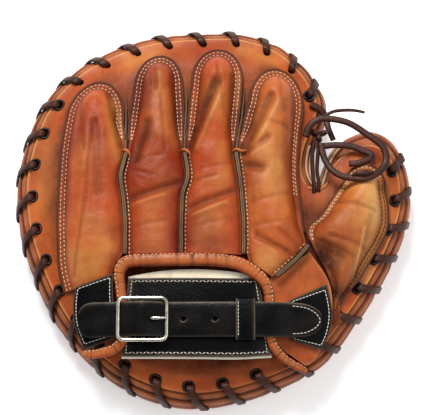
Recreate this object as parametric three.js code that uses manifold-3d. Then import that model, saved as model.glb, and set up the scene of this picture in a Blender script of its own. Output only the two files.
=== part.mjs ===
// A left-hand catcher's mitt, lying palm down with its back up, in millimetres.
// +X points to the thumb side, +Y to the fingertips and +Z up, away from the surface that it lies on.
// The origin is on that surface, under the middle of the mitt's outline.
import * as THREE from "three";
import { mergeVertices } from "three/addons/utils/BufferGeometryUtils.js";
import Module from "manifold-3d";

const wasm = await Module();
wasm.setup();

// Driving dimensions.
const LEATHER = 2; // wall of the back's leathers
const FIT_GAP = 0.6; // clearance between two pieces that touch
const BULGE_HEIGHT = 16; // height of the rim's widest line
const RIM_TOP = 29.4; // top of the rolled rim, where the back panel is sewn on
const BACK_EDGE_HEIGHT = 32; // top of the back panel along its edge
const BACK_RISE = 8; // how much higher the panel is over the hand
const BACK_RISE_WIDTH = 26; // over how much of its width it rises
const POCKET_HEIGHT = 13; // roof of the ball pocket in the palm's underside
const PAD_TOP = 25; // top of the padding that the hand lies on
const RIM_WALL = 5; // leather and welting outside the lacing gutter
const HEM = 6; // stitched flange round a finger stall
const WELT_WIDTH = 3.5;
const SEAM_HALF_GAP = 0.9; // half of the slit between two finger leathers, under the welt
const LACE_TURNS = 31;
const LACE_WIDTH = 5;
const LACE_THICKNESS = 2.2;
const LACE_WINDOW = 4.1; // half width of the slots that the lace passes through
const HOLE_INSET = 4.5; // the back panel's holes lie this far inside its edge
const STRAP_WIDTH = 24;
const STRAP_THICKNESS = 2.2;
const STRAP_Y = -79; // the strap's centre line
const STRAP_HOLE_RADIUS = 1.7;
const STRAP_HOLES_X = [-42, -20, 1.5];
const BUCKLE_WIRE = 2.6; // diameter of the buckle's bars
const BUCKLE_WIDTH = 35.5;
const BUCKLE_HEIGHT = 31.5;
const BUCKLE_X = -47.7;
const BUCKLE_Z = 55.1;
const CENTRE_BAR_Z = 52;
const CENTRE_BAR_WIRE = 2.2;

// Finishes, as colour, roughness and metalness.
const FINISHES = {
  tan: ["#b5602c", 0.55, 0],
  amber: ["#b8702f", 0.55, 0],
  russet: ["#7e3a20", 0.6, 0],
  darkLace: ["#3a1f16", 0.55, 0],
  welt: ["#4d3a26", 0.7, 0],
  black: ["#15130f", 0.35, 0],
  cream: ["#cbb994", 0.85, 0],
  nickel: ["#b9b4a8", 0.3, 1],
};

// The rim, counter-clockwise from the bottom of the notch between index finger and thumb. x and y are on
// the widest line of the rim, coreX and coreY where the palm's rings end, holeX and holeY on the edge of the
// opening in the back panel, and seam is how far inside the widest line the back panel's edge lies.
const RIM_ROWS = [
  { x: 74, y: 25, coreX: 62, coreY: -20, holeX: 66, holeY: -17, seam: 8 },
  { x: 70, y: 33, coreX: 30, coreY: -5, holeX: 58, holeY: 0, seam: 8 },
  { x: 71, y: 46, coreX: 28, coreY: 5, holeX: 56, holeY: 35, seam: 8 },
  { x: 76, y: 60, coreX: 27, coreY: 14, holeX: 57, holeY: 56, seam: 8 },
  { x: 81, y: 76, coreX: 25, coreY: 25, holeX: 58, holeY: 72, seam: 8 },
  { x: 79, y: 92, coreX: 22, coreY: 32, holeX: 56, holeY: 86, seam: 8 },
  { x: 66, y: 113, coreX: 16, coreY: 40, holeX: 51, holeY: 95, seam: 8 },
  { x: 47, y: 129, coreX: 9, coreY: 47, holeX: 40, holeY: 97, seam: 8 },
  { x: 22, y: 137.5, coreX: 1, coreY: 52, holeX: 21, holeY: 66, seam: 8 },
  { x: 1, y: 138.5, coreX: -8, coreY: 55, holeX: 2, holeY: 111, seam: 8 },
  { x: -18, y: 137.5, coreX: -16, coreY: 57, holeX: -18, holeY: 66, seam: 8 },
  { x: -39, y: 135.5, coreX: -25, coreY: 57, holeX: -39, holeY: 106, seam: 8 },
  { x: -60, y: 130, coreX: -34, coreY: 56, holeX: -60, holeY: 64, seam: 8 },
  { x: -82, y: 120.5, coreX: -43, coreY: 53, holeX: -79, holeY: 86, seam: 8 },
  { x: -101, y: 108, coreX: -52, coreY: 48, holeX: -92, holeY: 79, seam: 8 },
  { x: -119, y: 88, coreX: -60, coreY: 41, holeX: -98, holeY: 66, seam: 8 },
  { x: -132, y: 59, coreX: -66, coreY: 30, holeX: -101, holeY: 45, seam: 8 },
  { x: -138.5, y: 25, coreX: -70, coreY: 14, holeX: -102, holeY: 20, seam: 8 },
  { x: -136, y: -8, coreX: -71, coreY: -3, holeX: -102, holeY: -8, seam: 8 },
  { x: -126, y: -40, coreX: -69, coreY: -19, holeX: -100, holeY: -34, seam: 8 },
  { x: -108, y: -76, coreX: -61, coreY: -33, holeX: -90, holeY: -58, seam: 8 },
  { x: -84, y: -104, coreX: -50, coreY: -44, holeX: -72, holeY: -82, seam: 8 },
  { x: -54, y: -124, coreX: -36, coreY: -52, holeX: -50, holeY: -96, seam: 8 },
  { x: -20, y: -133.5, coreX: -18, coreY: -56, holeX: -20, holeY: -98, seam: 8 },
  { x: 14, y: -130.5, coreX: 0, coreY: -57, holeX: 12, holeY: -97, seam: 8 },
  { x: 48, y: -119, coreX: 20, coreY: -54, holeX: 38, holeY: -92, seam: 8 },
  { x: 76, y: -103.5, coreX: 42, coreY: -48, holeX: 60, holeY: -80, seam: 8 },
  { x: 98, y: -77, coreX: 62, coreY: -42, holeX: 82, holeY: -64, seam: 8 },
  { x: 116, y: -50, coreX: 80, coreY: -31, holeX: 99, holeY: -43, seam: 8 },
  { x: 131, y: -20.5, coreX: 93, coreY: -16, holeX: 115, holeY: -20, seam: 8 },
  { x: 139, y: 6, coreX: 99, coreY: -4, holeX: 119, holeY: 0, seam: 8 },
  { x: 138, y: 34, coreX: 101, coreY: 5, holeX: 117, holeY: 14, seam: 9 },
  { x: 129, y: 56, coreX: 100, coreY: 11, holeX: 110, holeY: 24, seam: 13 },
  { x: 114, y: 65, coreX: 96, coreY: 13, holeX: 103, holeY: 26, seam: 15 },
  { x: 98, y: 61, coreX: 89, coreY: 9, holeX: 97, holeY: 18, seam: 13 },
  { x: 85, y: 50, coreX: 80, coreY: 2, holeX: 88, holeY: 8, seam: 10 },
  { x: 78.5, y: 38, coreX: 71, coreY: -8, holeX: 78, holeY: -5, seam: 8 },
];
const LACE_FIRST_ROW = 5.1; // the lacing starts at the index finger's side of the notch
const LACE_LAST_ROW = 31.1; // and ends on the thumb

// The seams between the finger leathers over the hand: x at each level y.
const SEAM_ROWS = [
  { y: -32, littleRing: -60.2, ringMiddle: -21.7, middleIndex: 21 },
  { y: -12, littleRing: -60.2, ringMiddle: -21.7, middleIndex: 21 },
  { y: 8, littleRing: -62, ringMiddle: -21, middleIndex: 19.8 },
  { y: 22, littleRing: -63.7, ringMiddle: -17.5, middleIndex: 18.5 },
  { y: 40, littleRing: -60.2, ringMiddle: -19.6, middleIndex: 16 },
];

// Dents and creases in the finger leathers: a furrow from one point to another.
const CREASES = [
  { x0: -60, y0: 4, x1: -23, y1: 17, depth: 1.6, width: 3.5 },
  { x0: -18, y0: -2, x1: 15, y1: 11, depth: 1.6, width: 3.5 },
  { x0: -73, y0: 80, x1: -66, y1: 44, depth: 2.2, width: 4 },
  { x0: -35, y0: 92, x1: -44, y1: 44, depth: 2, width: 4 },
  { x0: -20, y0: 56, x1: -6, y1: 78, depth: 2.2, width: 4 },
  { x0: 31, y0: 40, x1: 42, y1: 74, depth: 2.4, width: 4 },
  { x0: 20, y0: 30, x1: 33, y1: 25, depth: 2.4, width: 5 },
  { x0: 66, y0: -28, x1: 82, y1: -37, depth: 4, width: 7 },
];

// Smooth helpers.

const clamp01 = (value) => Math.min(1, Math.max(0, value));
const smoothStep = (value) => clamp01(value) ** 2 * (3 - 2 * clamp01(value));
const mix = (a, b, share) => a + (b - a) * share;

// A table's rows read as curves: at(t) gives every column at t, from 0 at the first row to 1 at the last
// (or, on a closed table, round to the first again).
function tableCurve(rows, closed) {
  const columns = Object.keys(rows[0]);
  const curves = columns.map(
    (column) =>
      new THREE.CatmullRomCurve3(
        rows.map((row) => new THREE.Vector3(row[column], 0, 0)),
        closed,
        "catmullrom",
        0.5,
      ),
  );
  const at = (t) =>
    Object.fromEntries(columns.map((column, i) => [column, curves[i].getPoint(t).x]));
  return { at, resample: (count) => Array.from({ length: count }, (_, i) => at(i / (count - 1))) };
}

function distanceToSegment(x, y, x0, y0, x1, y1) {
  const dx = x1 - x0;
  const dy = y1 - y0;
  const share = clamp01(((x - x0) * dx + (y - y0) * dy) / (dx * dx + dy * dy));
  return Math.hypot(x - x0 - share * dx, y - y0 - share * dy);
}

// The rim as a curve by arc length.

const rimTable = tableCurve(RIM_ROWS, true);
const rimCurve = new THREE.CatmullRomCurve3(
  RIM_ROWS.map(({ x, y }) => new THREE.Vector3(x, y, 0)),
  true,
  "catmullrom",
  0.5,
);
rimCurve.arcLengthDivisions = 1200;
const rimLength = rimCurve.getLength();

// Distance along the rim to a row of its table, with a fraction for a place between two rows.
function rowToLength(row) {
  const lengths = rimCurve.getLengths();
  return lengths[Math.round((row / RIM_ROWS.length) * (lengths.length - 1))];
}

const laceStart = rowToLength(LACE_FIRST_ROW);
const lacePitch = (rowToLength(LACE_LAST_ROW) - laceStart) / (LACE_TURNS - 1);

// Everything that hangs on one place of the rim: the point, the direction inwards and the table's columns.
function rimFrame(length) {
  const t = rimCurve.getUtoTmapping((((length % rimLength) + rimLength) % rimLength) / rimLength);
  const row = rimTable.at(t);
  const tangent = rimCurve.getTangent(t);
  const toCore = new THREE.Vector3(row.coreX - row.x, row.coreY - row.y, 0);
  const inward = new THREE.Vector3(-tangent.y, tangent.x, 0);
  const aim = inward.multiplyScalar(1.2).add(toCore.clone().normalize()).normalize();
  const place = (inset, z) => new THREE.Vector3(row.x + aim.x * inset, row.y + aim.y * inset, z);
  return { row, tangent, toCore, place };
}

const RIM_POLYLINE = rimCurve.getPoints(220);

// Top of the back panel: it rises from its sewn edge towards the hand, and dips at the wrist's way in.
function backHeight(x, y) {
  let inset = Infinity;
  for (let i = 1; i < RIM_POLYLINE.length; i++) {
    const a = RIM_POLYLINE[i - 1];
    const b = RIM_POLYLINE[i];
    inset = Math.min(inset, distanceToSegment(x, y, a.x, a.y, b.x, b.y));
  }
  const wrist = smoothStep((-66 - y) / 34) * Math.exp(-(((x + 10) / 55) ** 2));
  const dip = 4.5 * wrist * smoothStep((inset - 15) / 16);
  return BACK_EDGE_HEIGHT + BACK_RISE * smoothStep((inset - 7) / BACK_RISE_WIDTH) - dip;
}

function creaseDepth(x, y) {
  return CREASES.reduce((sum, { x0, y0, x1, y1, depth, width }) => {
    const distance = distanceToSegment(x, y, x0, y0, x1, y1);
    return sum + depth * Math.exp(-((distance / width) ** 2));
  }, 0);
}

// Meshes.

function geometryOf(points, indices) {
  const geometry = new THREE.BufferGeometry();
  geometry.setAttribute("position", new THREE.Float32BufferAttribute(points.flatMap((p) => p.toArray()), 3));
  geometry.setIndex(indices);
  return geometry;
}

function pushQuad(indices, a, b, c, d) {
  indices.push(a, b, c, a, c, d);
}

// Leaves out the triangles that lost an edge when equal points were merged.
function mergePoints(geometry) {
  const merged = mergeVertices(geometry, 1e-3);
  const kept = [];
  const index = merged.index.array;
  for (let i = 0; i < index.length; i += 3) {
    const [a, b, c] = [index[i], index[i + 1], index[i + 2]];
    if (a !== b && b !== c && c !== a) kept.push(a, b, c);
  }
  merged.setIndex(kept);
  return merged;
}

// Gives an open sheet a wall of leather below it. The sheet's upper side is found from its mean normal.
function thicken(sheet, thickness) {
  const top = mergePoints(sheet);
  top.computeVertexNormals();
  const meanUp = top.attributes.normal.array.reduce((sum, value, i) => (i % 3 === 2 ? sum + value : sum), 0);
  if (meanUp < 0) {
    top.setIndex(Array.from(top.index.array).reverse());
    top.computeVertexNormals();
  }
  const { position, normal } = top.attributes;
  const count = position.count;
  const points = [];
  for (let i = 0; i < count; i++) points.push(new THREE.Vector3().fromBufferAttribute(position, i));
  for (let i = 0; i < count; i++) {
    const down = new THREE.Vector3().fromBufferAttribute(normal, i).multiplyScalar(-thickness);
    points.push(points[i].clone().add(down));
  }
  const faces = Array.from(top.index.array);
  const indices = [...faces];
  const edges = new Set();
  for (let i = 0; i < faces.length; i += 3) {
    const [a, b, c] = faces.slice(i, i + 3);
    indices.push(c + count, b + count, a + count);
    for (const [from, to] of [[a, b], [b, c], [c, a]]) edges.add(from + "," + to);
  }
  for (const edge of edges) {
    const [from, to] = edge.split(",").map(Number);
    if (!edges.has(to + "," + from)) pushQuad(indices, to, from, from + count, to + count);
  }
  return geometryOf(points, indices);
}

// A strip of leather between two edges. A row gives both edges' points; rise lifts the middle.
function stripSheet(rows, across) {
  const points = [];
  const indices = [];
  rows.forEach((row, i) => {
    for (let j = 0; j <= across; j++) {
      const share = j / across;
      const x = mix(row.leftX, row.rightX, share);
      const y = mix(row.leftY, row.rightY, share);
      const arch = 1 - (2 * share - 1) ** 2;
      points.push(new THREE.Vector3(x, y, mix(row.leftZ, row.rightZ, share) + row.rise * arch));
      if (i && j) {
        const corner = i * (across + 1) + j;
        pushQuad(indices, corner - across - 2, corner - across - 1, corner, corner - 1);
      }
    }
  });
  return geometryOf(points, indices);
}

// A finger or thumb stall: a flat stitched flange along the outline, then a puffed crown over the finger.
// The rows run from the hand to the fingertip, and the tip closes in an arch. The lifts are heights over the
// back panel, of the left edge, the crown and the right edge.
function stallSheet(rows, tip, sideSteps, archSteps) {
  const smooth = tableCurve(rows, false).resample(sideSteps);
  const last = smooth[smooth.length - 1];
  const centre = new THREE.Vector2((last.leftX + last.rightX) / 2, (last.leftY + last.rightY) / 2);
  const stations = smooth.map((row) => ({
    x: row.leftX,
    y: row.leftY,
    lift: row.leftLift,
    spineX: (row.leftX + row.rightX) / 2,
    spineY: (row.leftY + row.rightY) / 2,
    crown: row.crown,
  }));
  for (let i = 1; i < archSteps; i++) {
    const angle = (Math.PI * i) / archSteps;
    const side = Math.cos(angle);
    const rise = Math.sin(angle);
    stations.push({
      x: centre.x + side * (last.leftX - centre.x) + rise * (tip.x - centre.x),
      y: centre.y + side * (last.leftY - centre.y) + rise * (tip.y - centre.y),
      lift: 0,
      spineX: centre.x,
      spineY: centre.y,
      crown: last.crown,
    });
  }
  for (const row of [...smooth].reverse())
    stations.push({
      x: row.rightX,
      y: row.rightY,
      lift: row.rightLift,
      spineX: (row.leftX + row.rightX) / 2,
      spineY: (row.leftY + row.rightY) / 2,
      crown: row.crown,
    });
  const points = [];
  const indices = [];
  stations.forEach((station, i) => {
    const reach = Math.hypot(station.spineX - station.x, station.spineY - station.y);
    const flange = Math.min(reach / 3, mix(HEM, 1.5, clamp01(station.lift / 4)));
    const shoulder = Math.min(reach / 2, flange + 3);
    const rings = [
      { inset: 0, rise: 0 },
      { inset: flange, rise: 0.04 },
      { inset: shoulder, rise: 0.55 },
      { inset: mix(shoulder, reach, 0.4), rise: 0.88 },
      { inset: reach, rise: 1 },
    ];
    rings.forEach((ring, k) => {
      const share = ring.inset / reach;
      const x = mix(station.x, station.spineX, share);
      const y = mix(station.y, station.spineY, share);
      const lift = mix(station.lift, station.crown, ring.rise);
      const dent = creaseDepth(x, y) * Math.min(1, ring.rise * 1.6);
      points.push(new THREE.Vector3(x, y, backHeight(x, y) + LEATHER + FIT_GAP + lift - dent));
      if (i && k) {
        const corner = i * rings.length + k;
        pushQuad(indices, corner - rings.length - 1, corner - 1, corner, corner - rings.length);
      }
    });
  });
  return geometryOf(points, indices);
}

// A closed bar swept along a path. The section is an ellipse or, with four sides, a flat lace. wide gives
// the direction of the section's width at each step.
function sweptBar(path, sides, wide) {
  const points = [];
  const indices = [];
  const turn = sides === 4 ? Math.PI / 4 : 0;
  const stretch = sides === 4 ? Math.SQRT2 : 1;
  path.forEach((step, i) => {
    const before = path[Math.max(0, i - 1)].point;
    const after = path[Math.min(path.length - 1, i + 1)].point;
    const ahead = after.clone().sub(before).normalize();
    const across = wide(step, ahead).addScaledVector(ahead, -wide(step, ahead).dot(ahead)).normalize();
    const up = new THREE.Vector3().crossVectors(ahead, across);
    for (let j = 0; j < sides; j++) {
      const angle = turn + (2 * Math.PI * j) / sides;
      points.push(
        step.point
          .clone()
          .addScaledVector(across, (stretch * Math.cos(angle) * step.width) / 2)
          .addScaledVector(up, (stretch * Math.sin(angle) * step.height) / 2),
      );
      if (i) {
        const next = (j + 1) % sides;
        const here = i * sides;
        pushQuad(indices, here - sides + j, here - sides + next, here + next, here + j);
      }
    }
  });
  const end = (path.length - 1) * sides;
  for (let j = 1; j < sides - 1; j++) indices.push(0, j + 1, j, end, end + j, end + j + 1);
  return geometryOf(points, indices);
}

const towardsFloorPlane = (step, ahead) => new THREE.Vector3(-ahead.y, ahead.x, 0);

// A path through a table's rows, with the section of each step.
function tablePath(rows, steps) {
  return tableCurve(rows, false)
    .resample(steps)
    .map((row) => ({ point: new THREE.Vector3(row.x, row.y, row.z), width: row.width, height: row.height }));
}

// Joins and cuts.

function toSolid(geometry) {
  const bare = geometry.clone();
  bare.deleteAttribute("normal");
  bare.deleteAttribute("uv");
  const merged = mergePoints(bare);
  return new wasm.Manifold(
    new wasm.Mesh({
      numProp: 3,
      vertProperties: merged.attributes.position.array,
      triVerts: new Uint32Array(merged.index.array),
    }),
  );
}

function toGeometry(solid) {
  const mesh = solid.getMesh();
  const geometry = new THREE.BufferGeometry();
  geometry.setAttribute("position", new THREE.BufferAttribute(mesh.vertProperties.slice(), 3));
  geometry.setIndex(new THREE.BufferAttribute(mesh.triVerts.slice(), 1));
  return geometry;
}

const mitt = new THREE.Group();

function addPiece(name, geometry, finish) {
  const [color, roughness, metalness] = FINISHES[finish];
  const material = new THREE.MeshStandardMaterial({ color, roughness, metalness });
  const mesh = new THREE.Mesh(geometry, material);
  mesh.name = name;
  mitt.add(mesh);
}

// Places along the rim where the rings have a step: both sides of each lace slot, any between two slots and
// those round the notch.
function ringPlaces(slotPhase, between) {
  const places = [];
  for (let turn = 0; turn < LACE_TURNS; turn++) {
    const slot = laceStart + (turn + slotPhase) * lacePitch;
    places.push({ length: slot - LACE_WINDOW, slot: true });
    places.push({ length: slot + LACE_WINDOW, slot: false });
    if (between && turn < LACE_TURNS - 1) places.push({ length: slot + lacePitch / 2, slot: false });
  }
  const first = places[0].length + rimLength;
  const last = places[places.length - 1].length;
  const notchSteps = 11;
  for (let i = 1; i < notchSteps; i++) places.push({ length: mix(last, first, i / notchSteps), slot: false });
  return places;
}

// The palm: a leather cover with rolled rim, lacing gutter, padding under the hand and a ball pocket below.
function palmGeometry() {
  const profile = [
    { inset: 16, core: 1, z: POCKET_HEIGHT },
    { inset: 16, core: 0.5, z: 10 },
    { inset: 16, core: 0.15, z: 2.6 },
    { inset: 15, core: 0, z: 0 },
    { inset: 8, core: 0, z: 0 },
    { inset: 1.6, core: 0, z: 7 },
    { inset: 0, core: 0, z: BULGE_HEIGHT },
    { inset: 0, seam: 0.35, core: 0, z: 25 },
    { inset: 0, seam: 1, core: 0, z: RIM_TOP },
    { inset: 2, seam: 1, core: 0, z: RIM_TOP - 2 },
    { inset: RIM_WALL + 0.6, seam: 0.35, core: 0, z: 22 },
    { inset: RIM_WALL, core: 0, z: BULGE_HEIGHT - 0.5 },
    { inset: RIM_WALL + 0.6, core: 0, z: 9.2 },
    { inset: 9.6, core: 0, z: 8.8 },
    { inset: 11.6, core: 0, z: 12 },
    { inset: 10, seam: 0.5, core: 0, z: 21 },
    { inset: 12, seam: 1, core: 0.03, z: PAD_TOP - 0.5 },
    { inset: 16, seam: 1, core: 1, z: PAD_TOP },
  ];
  const windowOuter = 6;
  const windowInner = 12;
  const places = ringPlaces(0.5, false);
  const points = [];
  const indices = [];
  const across = profile.length;
  places.forEach((place, i) => {
    const { row, place: at } = rimFrame(place.length);
    for (const step of profile) {
      const point = at(step.inset + (step.seam ?? 0) * row.seam, step.z);
      point.x = mix(point.x, row.coreX, step.core);
      point.y = mix(point.y, row.coreY, step.core);
      points.push(point);
    }
    const here = i * across;
    const next = ((i + 1) % places.length) * across;
    for (let k = 1; k < across; k++)
      if (!place.slot || (k !== windowOuter && k !== windowInner))
        pushQuad(indices, here + k - 1, here + k, next + k, next + k - 1);
    if (place.slot) {
      const outer = [here + windowOuter, next + windowOuter, next + windowOuter - 1, here + windowOuter - 1];
      const inner = [here + windowInner - 1, next + windowInner - 1, next + windowInner, here + windowInner];
      for (let k = 0; k < 4; k++)
        pushQuad(indices, outer[k], outer[(k + 1) % 4], inner[(k + 1) % 4], inner[k]);
    }
  });
  const loop = (k) => places.map((_, i) => i * across + k);
  const cap = (ring) =>
    THREE.ShapeUtils.triangulateShape(
      ring.map((i) => new THREE.Vector2(points[i].x, points[i].y)),
      [],
    ).map((face) => face.map((i) => ring[i]));
  for (const [a, b, c] of cap(loop(0))) indices.push(a, b, c);
  for (const [a, b, c] of cap(loop(across - 1))) indices.push(c, b, a);
  return geometryOf(points, indices.reverse());
}

// The back panel: one leather round the hand, sewn to the rim, with a hole for each turn of the lace.
function backPanelGeometry() {
  const places = ringPlaces(0, true);
  const points = [];
  const indices = [];
  const ringCount = 5;
  const holeRing = 2;
  places.forEach((place, i) => {
    const { row, place: at } = rimFrame(place.length);
    const outer = at(row.seam + HOLE_INSET + 2, 0);
    const rings = [
      at(row.seam, 0),
      at(row.seam + HOLE_INSET - 2, 0),
      outer,
      new THREE.Vector3(mix(outer.x, row.holeX, 0.45), mix(outer.y, row.holeY, 0.45), 0),
      new THREE.Vector3(row.holeX, row.holeY, 0),
    ];
    for (const point of rings) points.push(point.setZ(backHeight(point.x, point.y)));
    const here = i * ringCount;
    const next = ((i + 1) % places.length) * ringCount;
    for (let k = 1; k < ringCount; k++)
      if (!place.slot || k !== holeRing) pushQuad(indices, here + k - 1, next + k - 1, next + k, here + k);
  });
  return thicken(geometryOf(points, indices), LEATHER);
}

// The lace: up through a hole of the back panel, slanting over the rim, in through the rim's slot and along
// the gutter to the next hole.
function perimeterLaceGeometry() {
  const turn = [
    { phase: -0.01, inset: 4.9, seam: 1, z: 28.6 },
    { phase: 0.03, inset: 3.5, seam: 1, z: 36 },
    { phase: 0.17, inset: -2.2, seam: 1, z: 33.6 },
    { phase: 0.33, inset: -2.5, seam: 0, z: 22 },
    { phase: 0.45, inset: -2.3, seam: 0, z: 12.4 },
    { phase: 0.49, inset: 3.2, seam: 0, z: 11.8 },
    { phase: 0.54, inset: 8.6, seam: 0, z: 12.2 },
  ];
  const path = [];
  for (let i = 0; i < LACE_TURNS; i++)
    for (const step of turn) {
      const frame = rimFrame(laceStart + (i + step.phase) * lacePitch);
      path.push({
        point: frame.place(step.inset + step.seam * frame.row.seam, step.z),
        width: LACE_WIDTH,
        height: LACE_THICKNESS,
        rim: frame.tangent,
      });
    }
  return sweptBar(path, 4, (step) => step.rim.clone());
}

addPiece("palm", palmGeometry(), "russet");
addPiece("back_panel", backPanelGeometry(), "amber");
addPiece("perimeter_lace", perimeterLaceGeometry(), "darkLace");

// Finger stalls. Over the hand a stall's edges follow the seams; the rows above them lead to the fingertip.

function handRows(leftSeam, rightSeam) {
  return SEAM_ROWS.map((row, i) => {
    const lift = i === SEAM_ROWS.length - 1 ? 5 : 8;
    return {
      leftX: row[leftSeam] + SEAM_HALF_GAP,
      leftY: row.y,
      rightX: row[rightSeam] - SEAM_HALF_GAP,
      rightY: row.y,
      leftLift: lift,
      crown: 12 + i * 0.5,
      rightLift: lift,
    };
  });
}

const LITTLE_ROWS = [
  { leftX: -102, leftY: -57, rightX: -70.5, rightY: -50, leftLift: 0, crown: 1.6, rightLift: 2 },
  { leftX: -106, leftY: -40, rightX: -68.5, rightY: -40, leftLift: 0, crown: 8, rightLift: 6 },
  { leftX: -107, leftY: -22, rightX: -61.1, rightY: -28, leftLift: 0, crown: 12, rightLift: 8 },
  { leftX: -107.5, leftY: 0, rightX: -61.9, rightY: 0, leftLift: 0, crown: 13, rightLift: 8 },
  { leftX: -107, leftY: 22, rightX: -64.6, rightY: 22, leftLift: 0, crown: 14, rightLift: 8 },
  { leftX: -106, leftY: 44, rightX: -61.1, rightY: 40, leftLift: 0, crown: 14, rightLift: 5 },
  { leftX: -103, leftY: 67, rightX: -63.5, rightY: 64, leftLift: 0, crown: 12, rightLift: 0 },
];
const RING_TIP_ROWS = [
  { leftX: -58.5, leftY: 64, rightX: -20.5, rightY: 64, leftLift: 0, crown: 14, rightLift: 0 },
  { leftX: -55.5, leftY: 87, rightX: -22, rightY: 90, leftLift: 0, crown: 12, rightLift: 0 },
];
const MIDDLE_TIP_ROWS = [
  { leftX: -17.5, leftY: 64, rightX: 17.5, rightY: 64, leftLift: 0, crown: 14, rightLift: 0 },
  { leftX: -14.5, leftY: 93, rightX: 20.5, rightY: 95, leftLift: 0, crown: 12, rightLift: 0 },
];
const INDEX_ROWS = [
  { leftX: 24.5, leftY: -37.5, rightX: 40.5, rightY: -49, leftLift: 8, crown: 9, rightLift: 7 },
  { leftX: 21.9, leftY: -27, rightX: 52, rightY: -40, leftLift: 8, crown: 12, rightLift: 7 },
  { leftX: 21.9, leftY: -12, rightX: 63.5, rightY: -29, leftLift: 8, crown: 13, rightLift: 6 },
  { leftX: 20.7, leftY: 8, rightX: 61.5, rightY: -11, leftLift: 8, crown: 14, rightLift: 2 },
  { leftX: 19.4, leftY: 22, rightX: 60, rightY: 10, leftLift: 8, crown: 14, rightLift: 1 },
  { leftX: 16.9, leftY: 40, rightX: 59, rightY: 30, leftLift: 5, crown: 14, rightLift: 1.5 },
  { leftX: 21, leftY: 62, rightX: 60, rightY: 50, leftLift: 0, crown: 14, rightLift: 1.3 },
  { leftX: 26, leftY: 80, rightX: 63, rightY: 74, leftLift: 0, crown: 12, rightLift: 0.4 },
];
const THUMB_ROWS = [
  { leftX: 82.4, leftY: -70, rightX: 85.5, rightY: -68, leftLift: 0, crown: 1, rightLift: 0 },
  { leftX: 82.4, leftY: -58, rightX: 90, rightY: -59, leftLift: 1, crown: 4, rightLift: 0 },
  { leftX: 78, leftY: -44, rightX: 100, rightY: -48, leftLift: 2, crown: 8, rightLift: 0 },
  { leftX: 69, leftY: -27, rightX: 109, rightY: -33, leftLift: 3, crown: 10, rightLift: 0 },
  { leftX: 66, leftY: -13, rightX: 117, rightY: -20, leftLift: 1.4, crown: 11, rightLift: 0 },
  { leftX: 75, leftY: -4, rightX: 121.5, rightY: -8, leftLift: 1.4, crown: 11, rightLift: 0 },
  { leftX: 84, leftY: 10, rightX: 121.5, rightY: 4, leftLift: 1.7, crown: 11, rightLift: 0 },
  { leftX: 92, leftY: 22, rightX: 119.5, rightY: 16, leftLift: 1, crown: 9, rightLift: 0 },
];

const STALLS = [
  { name: "finger_little", rows: LITTLE_ROWS, tip: { x: -80, y: 94 } },
  {
    name: "finger_ring",
    rows: [...handRows("littleRing", "ringMiddle"), ...RING_TIP_ROWS],
    tip: { x: -38.5, y: 114 },
  },
  {
    name: "finger_middle",
    rows: [...handRows("ringMiddle", "middleIndex"), ...MIDDLE_TIP_ROWS],
    tip: { x: 3, y: 119 },
  },
  { name: "finger_index", rows: INDEX_ROWS, tip: { x: 47, y: 104 } },
  { name: "thumb_back", rows: THUMB_ROWS, tip: { x: 109, y: 33 } },
];
for (const { name, rows, tip } of STALLS) addPiece(name, thicken(stallSheet(rows, tip, 10, 7), LEATHER), "tan");

// Welts: piped seams that stand over the slits between the finger leathers.

function weltGeometry(line) {
  const path = tablePath(
    line.map(({ x, y, lift }) => ({
      x,
      y,
      z: backHeight(x, y) + LEATHER + 2 * FIT_GAP + lift + 1.4,
      width: WELT_WIDTH,
      height: 2.6,
    })),
    6,
  );
  return sweptBar(path, 6, towardsFloorPlane);
}

for (const [name, seam] of [
  ["welt_little_ring", "littleRing"],
  ["welt_ring_middle", "ringMiddle"],
  ["welt_middle_index", "middleIndex"],
]) {
  const line = SEAM_ROWS.map((row, i) => ({
    x: row[seam],
    y: row.y,
    lift: i === SEAM_ROWS.length - 1 ? 5 : 8,
  }));
  addPiece(name, weltGeometry(line), "welt");
}
const INDEX_THUMB_SEAM = [
  { x: 65.5, y: -27, lift: 6.4 },
  { x: 59, y: -34.5, lift: 7 },
  { x: 52, y: -41.5, lift: 7.4 },
  { x: 43, y: -49, lift: 7.6 },
];
addPiece("welt_index_thumb", weltGeometry(INDEX_THUMB_SEAM), "welt");

// The gusset between the index finger's leather, the thumb's and the wrist strap.
const GUSSET_ROWS = [
  { leftX: 44, leftY: -51, leftZ: 47.5, rightX: 65.5, rightY: -31.5, rightZ: 46, rise: 0.5 },
  { leftX: 42.5, leftY: -66, leftZ: 46, rightX: 79, rightY: -52, rightZ: 43, rise: 0.5 },
  { leftX: 43, leftY: -84, leftZ: 44, rightX: 80, rightY: -78, rightZ: 41, rise: 0.5 },
  { leftX: 46, leftY: -96, leftZ: 42.8, rightX: 73, rightY: -98, rightZ: 39.4, rise: 0.5 },
  { leftX: 62, leftY: -107.8, leftZ: 39.4, rightX: 66, rightY: -107.2, rightZ: 38.8, rise: 0 },
];
addPiece(
  "thumb_gusset",
  thicken(stripSheet(tableCurve(GUSSET_ROWS, false).resample(9), 4), LEATHER),
  "amber",
);

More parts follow.
